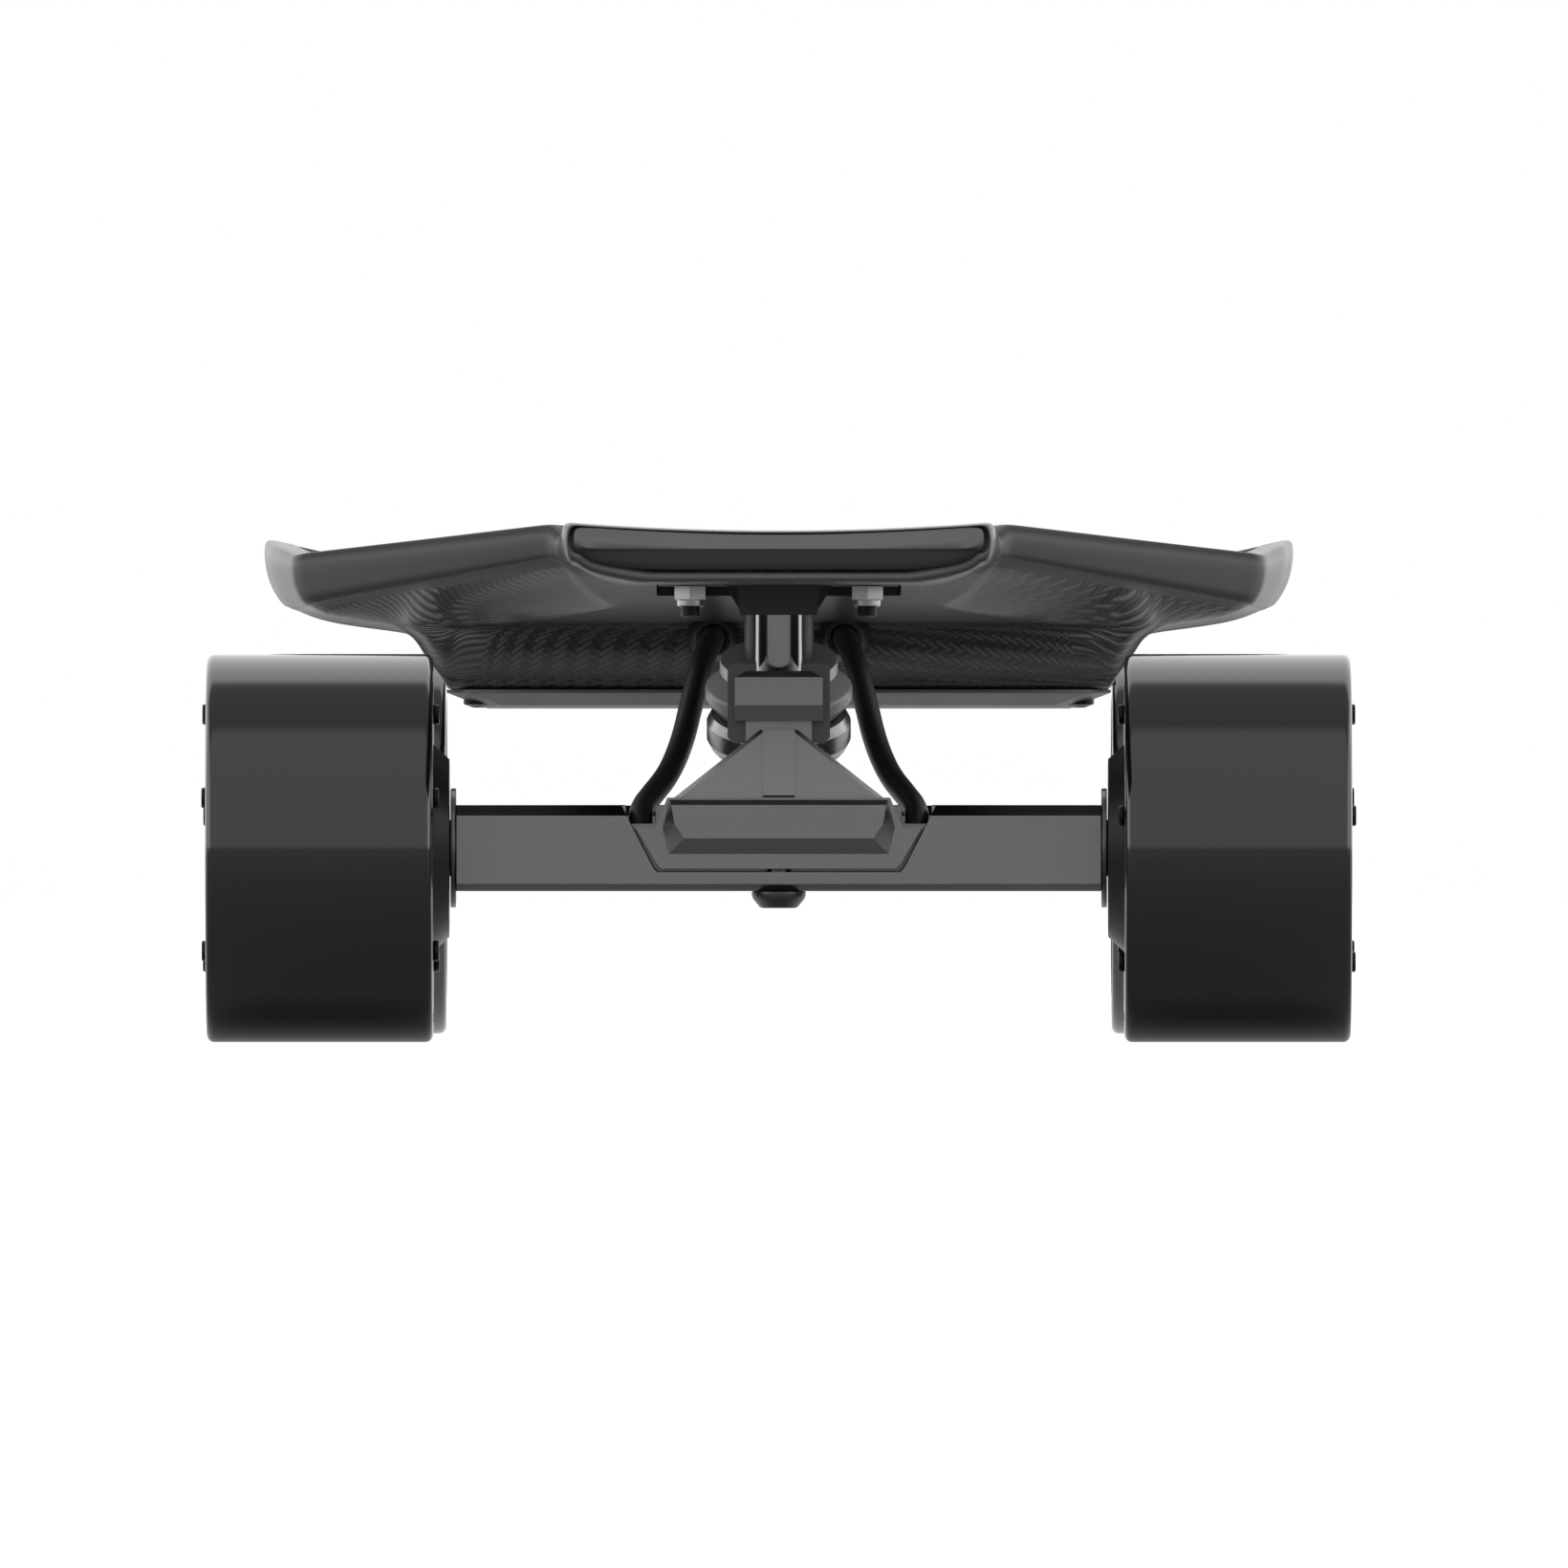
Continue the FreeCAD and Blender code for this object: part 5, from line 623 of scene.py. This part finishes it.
# How far each loop of the block stands out of the deck's end, and how far it is drawn in.
BLOCK_LOOPS = [(-7.9, 0.0), (-0.9, 0.0), (-0.2, 0.05), (0.25, 0.35), (1.1, 1.6), (2.1, 3.3), (2.75, 4.6),
               (2.95, 5.2)]
FULL_INSET = BLOCK_LOOPS[-1][1]
bumper_loops = []
for out, inset in BLOCK_LOOPS:
    loop = []
    for x, z in rim:
        pull_x = math.copysign(min(inset, abs(x)), x) if abs(x) > MIDDLE_REACH else x * inset / DRAW_SPAN
        lean = UPPER_LEAN if z > RIDGE else LOWER_LEAN
        pull_z = math.copysign(min(inset * lean, abs(z - RIDGE) - RIDGE_HALF), z - RIDGE)
        in_shade = z < RIDGE and out > BLOCK_LOOPS[0][0]
        sunk = LOWER_SUNK * (1 - inset / FULL_INSET) if in_shade else 0.0
        loop.append((x - pull_x, RIM_AT + out - sunk, z - pull_z))
    bumper_loops.append(loop)
bumpers = []
for name, sign in (("rear_bumper", -1), ("front_bumper", 1)):
    size, half_size = len(rim), len(half_rim)
    spots = [(x * MM, sign * y * MM, z * MM) for loop in bumper_loops for x, y, z in loop]
    quads = [(r * size + c, r * size + (c + 1) % size, (r + 1) * size + (c + 1) % size, (r + 1) * size + c)
             for r in range(len(bumper_loops) - 1) for c in range(size)]
    # The back and the face are closed by strips across, from the top row to the bottom row.
    for base in (0, (len(bumper_loops) - 1) * size):
        right = [base + i for i in range(half_size)]
        left = [base] + [base + size - i for i in range(1, half_size - 1)] + [base + half_size - 1]
        for column in (right, left):
            for i in range(half_size // 2 - 1):
                quads.append((column[i], column[i + 1], column[-2 - i], column[-1 - i]))
    mesh = bpy.data.meshes.new(name)
    mesh.from_pydata(spots, [], quads)
    block = add_piece(name, mesh)
    pick(block)
    bpy.ops.object.mode_set(mode="EDIT")
    bpy.ops.mesh.select_all(action="SELECT")
    bpy.ops.mesh.normals_make_consistent(inside=False)
    bpy.ops.object.mode_set(mode="OBJECT")
    subdivide(block, 2)
    smooth(block, 50)
    bumpers.append(block)
deselect()
for block in bumpers:
    block.select_set(True)
bpy.context.view_layer.objects.active = bumpers[0]
bpy.ops.object.join()
bumpers[0].name = "end_bumper_blocks"
# Moulded rubber: dark grey and satin, so its slopes show as one lit and one shaded band.
rubber = grained("moulded_black_rubber", "#444445", 0.45, 0.0, 0.5, 0.02)
finish_piece(bumpers[0], "deck", "end_bumpers", rubber)

# ---------------------------------------------------------------- belly
# A moulded ABS lid closes the hull over a foam gasket, held by a row of black screws on each side.
# The battery and the controller lie on it inside.


def refined(node, name, width, segments=2, angle=30):
    """A copy of a CAD node whose edges are broken to that width in mm, as on the real piece."""
    piece = add_piece(name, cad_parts[node].data.copy())
    pick(piece)
    bpy.ops.object.mode_set(mode="EDIT")
    bpy.ops.mesh.select_all(action="SELECT")
    bpy.ops.mesh.remove_doubles(threshold=0.002 * MM)
    bpy.ops.mesh.customdata_custom_splitnormals_clear()
    bpy.ops.mesh.dissolve_limited(angle_limit=math.radians(0.6))
    bpy.ops.object.mode_set(mode="OBJECT")
    soft = piece.modifiers.new("broken_edges", "BEVEL")
    soft.width, soft.segments = width * MM, segments
    soft.limit_method, soft.angle_limit = "ANGLE", math.radians(angle)
    soft.use_clamp_overlap = True
    soft.miter_outer = "MITER_ARC"
    apply_modifiers(piece)
    smooth(piece, 32)
    flats = piece.modifiers.new("flat_faces", "WEIGHTED_NORMAL")
    flats.keep_sharp = True
    apply_modifiers(piece)
    return piece


# ABS from a lightly textured mould: nearly black, with a broad soft sheen.
lid = grained("moulded_abs_lid", "#262627", 0.45, 0.0, 0.35, 0.03)
# Closed-cell foam: paler and dull, with fine pits.
foam = grained("closed_cell_foam", "#565656", 0.8, 0.0, 0.4, 0.08)
# Black oxide on steel: dark and faintly oily, so its edges catch small highlights.
oxide = grained("black_oxide_steel", "#1a1a1b", 0.38, 0.7, 0.3, 0.01)
# Film shrunk over cells: dark blue, with ripples 3 mm long that bend its highlights.
wrap = grained("shrink_wrap_film", "#1c2430", 0.35, 0.0, 3.0, 0.05)
# Aluminium as it leaves the die: pale grey with a cloudy gloss.
case = grained("die_cast_case", "#77797c", 0.5, 0.85, 0.6, 0.03)
for node, name, width, slot, made in (
        ("belly_cover", "belly_lid", 0.8, "cover_plastic", lid),
        ("belly_gasket", "belly_seal", 0.15, "gasket_rubber", foam),
        ("belly_screws", "lid_screws", 0.35, "black_steel", oxide),
        ("battery_pack", "battery_cells_pack", 1.5, "battery_wrap", wrap),
        ("motor_controller", "controller_housing", 1.2, "controller_case", case)):
    finish_piece(refined(node, name, width), "deck", node, made)

# ---------------------------------------------------------------- side ports
# A moulded push button with a dished cap in a plated brass bezel, and a round charge socket behind a
# rubber cap that swings on a pin, all in a recess in the hull's right side.

# Moulded nylon: dark and satin, with a fine even grain.
nylon = grained("moulded_nylon", "#202123", 0.45, 0.0, 0.25, 0.02)
# Nickel plate on turned brass: warm and bright, with clear reflections.
nickel = grained("nickel_plated_brass", "#a5a39c", 0.22, 1.0, 0.4, 0.004, 0.05)
# Soft moulded rubber: black, almost without shine.
soft_rubber = grained("soft_black_rubber", "#161616", 0.6, 0.0, 0.4, 0.03)
for node, name, width, body, slot, made in (
        ("power_button", "power_button_cap", 0.25, "power_button", "button_plastic", nylon),
        ("button_bezel", "button_ring", 0.15, "deck", "socket_metal", nickel),
        ("charge_socket", "charge_port", 0.12, "deck", "socket_metal", nickel),
        ("charge_cap", "charge_port_cap", 0.4, "charge_cap", "cap_rubber", soft_rubber),
        ("cap_hinge", "cap_hinge_pin", 0.15, "deck", "socket_metal", oxide)):
    finish_piece(refined(node, name, width), body, node, made)

# ---------------------------------------------------------------- motor cables
# Two PVC-jacketed leads leave nylon glands in the end of the hull and dive into wells in the rear
# beam, with slack enough for the truck to steer.

glands = refined("cable_glands", "cable_gland_nuts", 0.5)
finish_piece(glands, "deck", "cable_glands", nylon)
# Distance aside, distance forward of the rear axle, and height.
CABLE_ROUTE = [
    (17.0, 83.5, 104.5), (17.2, 69.5, 104.3), (19.4, 57.0, 99.2), (22.4, 50.5, 88.0), (24.8, 43.0, 77.5),
    (28.4, 33.0, 69.0), (32.8, 23.0, 63.6), (35.6, 14.8, 60.0), (35.6, 10.9, 55.2), (35.6, 10.6, 49.6),
]
JACKET_RADIUS = 3.1 * MM
line = bpy.data.curves.new("motor_leads", "CURVE")
line.dimensions = "3D"
line.bevel_depth = JACKET_RADIUS
line.bevel_resolution = 8
line.use_fill_caps = True
for side in (-1, 1):
    spline = line.splines.new("NURBS")
    spline.points.add(len(CABLE_ROUTE) - 1)
    for point, (x, y, z) in zip(spline.points, CABLE_ROUTE):
        point.co = (side * x * MM, rear_axle_y + y * MM, z * MM, 1)
    spline.order_u = 3
    spline.use_endpoint_u = True
    spline.resolution_u = 10
leads = add_piece("motor_leads", line)
pick(leads)
bpy.ops.object.convert(target="MESH")
leads = bpy.context.object
smooth(leads, 60)
# PVC jacket: black, with a waxy sheen along its length.
jacket = grained("pvc_jacket", "#131314", 0.5, 0.0, 0.8, 0.03)
leads.data.materials.clear()
leads.data.materials.append(jacket)
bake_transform(leads)
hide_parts("motor_cables")

# ---------------------------------------------------------------- trucks, deck side
# Cast aluminium baseplates sit in the deck's pockets, each on four black bolts with zinc-plated nuts.
# A kingpin through each carries two urethane bushings between cupped washers, and a urethane cup
# takes the hanger's pivot pin.

# Cast aluminium under thin dark paint: slightly pebbled, with a low metallic sheen.
cast = grained("cast_aluminium", "#3a3a3b", 0.46, 0.5, 0.5, 0.04)
# Tumbled zinc plate: a dull silver, because tumbling scatters the light.
tumbled = grained("tumbled_zinc_steel", "#a8a8a6", 0.5, 0.6, 0.6, 0.01)
# Bright zinc plate: pale silver with soft reflections.
zinc = grained("zinc_plated_steel", "#b8b8b6", 0.38, 1.0, 0.6, 0.008, 0.06)
# Solid black urethane: satin and even.
black_urethane = grained("black_urethane", "#1a1a1a", 0.5, 0.0, 0.8, 0.02)
# Grey urethane: slightly milky, because some light passes under its surface.
grey_urethane = grained("pale_grey_urethane", "#7e7e7d", 0.38, 0.0, 1.2, 0.02, Subsurface_Weight=0.12,
                        Subsurface_Radius=(0.004, 0.004, 0.004))
for node, name, width, slot, made in (
        ("rear_baseplate", "rear_baseplate_casting", 0.5, "cast_aluminium", cast),
        ("front_baseplate", "front_baseplate_casting", 0.5, "cast_aluminium", cast),
        ("deck_bolts", "deck_bolt_set", 0.3, "black_steel", oxide),
        ("deck_nuts", "deck_nut_set", 0.4, "zinc_steel", zinc),
        ("kingpins", "kingpin_bolts", 0.5, "zinc_steel", zinc),
        ("kingpin_nuts", "kingpin_lock_nuts", 0.6, "zinc_steel", zinc),
        ("bushing_washers", "cupped_washers", 0.35, "zinc_steel", tumbled),
        ("pivot_cups", "pivot_bush_cups", 0.2, "cup_urethane", black_urethane)):
    finish_piece(refined(node, name, width), "deck", node, made)
# Each bushing is held by its washer at one end and pressed by the hanger's ring at the other. The pair
# is split into a lower and an upper piece.
for end in ("rear", "front"):
    pair = refined(f"{end}_bushings", f"{end}_bushing", 0.8)
    pick(pair)
    bpy.ops.object.mode_set(mode="EDIT")
    bpy.ops.mesh.select_all(action="SELECT")
    bpy.ops.mesh.separate(type="LOOSE")
    bpy.ops.object.mode_set(mode="OBJECT")
    bushings = []
    for bushing in bpy.context.selected_objects:
        corners = [v.co for v in bushing.data.vertices]
        bushings.append((sum(corners, Vector()) / len(corners), bushing))
    bushings.sort(key=lambda entry: entry[0].z)
    for (centre, bushing), level, up in zip(bushings, ("lower", "upper"), (-1, 1)):
        bushing.name = bushing.data.name = f"{end}_{level}_bushing"
        bushing.data.materials.clear()
        bushing.data.materials.append(grey_urethane)
        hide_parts(f"{end}_bushings")
        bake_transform(bushing)

# ---------------------------------------------------------------- hangers
# A milled and bead-blasted aluminium beam carries a forged yoke, keyed into a pocket in its face and
# held by a screw from below. The steel pivot pin is pressed into the yoke's block.

# Bead-blasted aluminium: an even satin grey, the same from every side.
beam_metal = grained("bead_blasted_aluminium", "#868686", 0.3, 1.0, 0.35, 0.015, 0.05)
# Forged and satin-finished aluminium: the same grey, with a slightly coarser skin.
yoke_metal = grained("forged_satin_aluminium", "#868686", 0.28, 0.92, 0.5, 0.015, 0.05)
# Ground and polished steel: nearly a mirror.
polished = grained("polished_steel", "#bdbdbb", 0.14, 1.0, 1.5, 0.002, 0.03)
# Blackened steel, brushed to a satin: dark grey, with a soft highlight round its rim.
screw_metal = grained("satin_black_steel", "#5c5c5d", 0.34, 0.9, 0.3, 0.008)
# The flat behind the yoke's block, where the upper bushing bears, is painted darker than the rest, and
# the top bevels of the beam are painted dark as a painted reflection of the dark space above them.
for metal, darkened_colour in ((yoke_metal, "#565657"), (beam_metal, "#303031")):
    tree = metal.node_tree
    shader = tree.nodes["Principled BSDF"]
    bare = shader.inputs["Base Color"].links[0].from_socket
    darkened = add_node(tree, "Attribute", attribute_name="darkened_faces")
    overlaid = add_node(tree, "Mix", {0: darkened.outputs["Fac"], 6: bare, 7: linear(darkened_colour)}, data_type="RGBA")
    tree.links.new(overlaid.outputs[2], shader.inputs["Base Color"])
SEAT_FRONT, SEAT_HALF = 366.0, 13.3
SEAT_FROM, SEAT_TO = 76.5, 98
for end in ("rear", "front"):
    for node, width, slot, made in (
            (f"{end}_hanger_beam", 0.5, "forged_aluminium", beam_metal),
            (f"{end}_hanger_yoke", 0.6, "forged_aluminium", yoke_metal),
            (f"{end}_pivot_pin", 0.3, "polished_steel", polished),
            (f"{end}_yoke_screw", 1.6, "black_steel", screw_metal)):
        piece = refined(node, f"{node}_piece", width, 3, 14)
        # Faces painted darker: the yoke's flat behind its block, and the beam's top bevels as a painted
        # reflection.
        darkened = piece.data.attributes.new("darkened_faces", "FLOAT", "FACE")
        for face in piece.data.polygons:
            x, y, z = face.center / MM
            if made is yoke_metal:
                behind = abs(y) < SEAT_FRONT and abs(face.normal.y) > 0.97
                darkened.data[face.index].value = float(behind and abs(x) < SEAT_HALF and SEAT_FROM < z < SEAT_TO)
            elif made is beam_metal:
                darkened.data[face.index].value = float(0.3 < face.normal.z < 0.9)
        finish_piece(piece, f"{end}_hanger", node, made)

# ---------------------------------------------------------------- axles
# A zinc-plated steel axle is pressed through each beam, with a turned spacer inside each wheel and a
# lock nut outside it. Every wheel runs on a pair of sealed ball bearings.

# Ground steel under a film of oil: mid-grey, with clear reflections.
bearing = grained("oiled_bearing_steel", "#6a6a6b", 0.3, 1.0, 0.8, 0.003, 0.05)
for end in ("rear", "front"):
    for node, width, slot, made in (
            (f"{end}_axle", 0.6, "zinc_steel", zinc),
            (f"{end}_axle_spacers", 0.25, "bearing_steel", bearing),
            (f"{end}_axle_nuts", 0.5, "zinc_steel", zinc)):
        finish_piece(refined(node, f"{node}_piece", width), f"{end}_hanger", node, made)
    for side in ("left", "right"):
        node = f"{end}_{side}_bearings"
        pair = refined(node, f"{node}_pair", 0.3)
        finish_piece(pair, f"{end}_{side}_wheel", node, bearing)

# ---------------------------------------------------------------- wheels
# Urethane tyres are cast on the wheels in polished moulds. The rear ones sit on hub motors with
# bolted covers, the front ones on open aluminium hubs.


def turned(name, outline, centre, sign, steps):
    """A ring spun about the axle at the centre, from its outline as distances along and from the axle."""
    mesh = bpy.data.meshes.new(name)
    spots = [(centre.x + sign * along * MM, centre.y, centre.z + out * MM) for along, out in outline]
    mesh.from_pydata(spots, [(i, (i + 1) % len(spots)) for i in range(len(spots))], [])
    piece = add_piece(name, mesh)
    pick(piece)
    bpy.ops.object.mode_set(mode="EDIT")
    bpy.ops.mesh.select_all(action="SELECT")
    bpy.ops.mesh.spin(steps=steps, angle=2 * math.pi, center=centre, axis=(1, 0, 0))
    bpy.ops.mesh.select_all(action="SELECT")
    bpy.ops.mesh.remove_doubles(threshold=0.001 * MM)
    bpy.ops.mesh.normals_make_consistent(inside=False)
    bpy.ops.object.mode_set(mode="OBJECT")
    turning = piece.data.uv_layers.new(name="turning")
    for loop in piece.data.loops:
        p = piece.data.vertices[loop.vertex_index].co - centre
        round_axle = math.atan2(p.z, p.y) / (2 * math.pi)
        turning.data[loop.index].uv = (sign * p.x + math.hypot(p.y, p.z), round_axle)
    return piece


# Black urethane from a polished mould: glossy enough to mirror the studio in long soft bands, with a
# faint grain of 1.1 mm that runs round the wheel in six long patches.
GRAIN_PITCH, GRAIN_PATCHES = 1.1 * MM, 6.0
tread, tree, shader = material("cast_black_urethane", "#060606", 0.1, 0.0, Specular_IOR_Level=0.9)
uv = add_node(tree, "UVMap", uv_map="turning")
band = add_node(tree, "Mapping", {"Vector": uv.outputs[0], "Scale": (1 / GRAIN_PITCH, GRAIN_PATCHES, 1.0)})
grain_round = add_node(tree, "TexNoise", {"Vector": band.outputs[0], "Scale": 1.0, "Detail": 4.0})
spot = add_node(tree, "TexCoord").outputs["Object"]
dusting = add_node(tree, "TexNoise", {"Vector": spot, "Scale": 30.0, "Detail": 5.0})
tone = add_node(tree, "Mix", {0: dusting.outputs[0], 6: linear("#040404"), 7: linear("#080808")},
                data_type="RGBA")
tree.links.new(tone.outputs[2], shader.inputs["Base Color"])
gloss = add_node(tree, "MapRange", {0: grain_round.outputs[0], 3: 0.07, 4: 0.13})
tree.links.new(gloss.outputs[0], shader.inputs["Roughness"])
relief = add_node(tree, "Bump", {"Height": grain_round.outputs[0], "Distance": 0.01 * MM, "Strength": 0.4})
tree.links.new(relief.outputs[0], shader.inputs["Normal"])

# Black anodised aluminium: a dark, slightly metallic satin.
motor_paint = grained("black_anodised_aluminium", "#26272a", 0.38, 0.6, 0.5, 0.015)
# Grey anodised aluminium: cool and metallic, so the cores' walls shade clearly.
hub_metal = grained("anodised_hub_aluminium", "#4a4c50", 0.35, 0.8, 0.5, 0.015)
# Nickel-plated magnets: bright grey.
magnet_metal = grained("nickel_plated_magnet", "#8d8f92", 0.3, 1.0, 0.8, 0.01)
# Varnished steel laminations: brownish and dull.
stator_metal = grained("laminated_steel", "#6a5a48", 0.55, 0.8, 0.4, 0.05)

# Half of the tyre's outline, as distances from its middle and from the axle: the bore, a shallow
# groove in the side wall, and the rounded edge.
TYRE_HALF, TYRE_OUT, TYRE_IN, TYRE_EDGE = 29.2, 50.0, 40.0, 2.0
GROOVE_DEPTH = 0.35
TYRE_STEPS = 128
edge_arc = [(math.sin(math.radians(a)) * TYRE_EDGE, math.cos(math.radians(a)) * TYRE_EDGE)
            for a in (90, 67, 45, 22, 0)]
side_wall = [(TYRE_HALF, TYRE_IN), (TYRE_HALF, 42.5), (TYRE_HALF - GROOVE_DEPTH, 43.0),
             (TYRE_HALF - GROOVE_DEPTH, 45.5), (TYRE_HALF, 46.0)]
half_tyre = side_wall + [(TYRE_HALF - TYRE_EDGE + a, TYRE_OUT - TYRE_EDGE + r) for a, r in edge_arc]
tyre_outline = half_tyre + [(0, TYRE_OUT)] + [(-a, r) for a, r in reversed(half_tyre)]
for end in ("rear", "front"):
    for side, sign in (("left", -1), ("right", 1)):
        low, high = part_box(f"{end}_{side}_tyre")
        wheel = f"{end}_{side}_wheel"
        tyre = turned(f"{end}_{side}_tyre_ring", tyre_outline, (low + high) / 2, sign, TYRE_STEPS)
        smooth(tyre, 30)
        finish_piece(tyre, wheel, f"{end}_{side}_tyre", tread)
        if end == "rear":
            for node, width, slot, made in (
                    (f"rear_{side}_rotor", 0.5, "motor_metal", motor_paint),
                    (f"rear_{side}_motor_cover", 0.5, "motor_metal", motor_paint),
                    (f"rear_{side}_cover_screws", 0.4, "black_steel", oxide),
                    (f"rear_{side}_magnets", 0.2, "magnet", magnet_metal)):
                finish_piece(refined(node, f"{node}_piece", width), wheel, node, made)
            node = f"rear_{side}_stator"
            stator = refined(node, f"{node}_piece", 0.5)
            finish_piece(stator, "rear_hanger", node, stator_metal)
        else:
            node = f"front_{side}_hub"
            finish_piece(refined(node, f"{node}_piece", 0.6), wheel, node, hub_metal)

low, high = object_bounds()
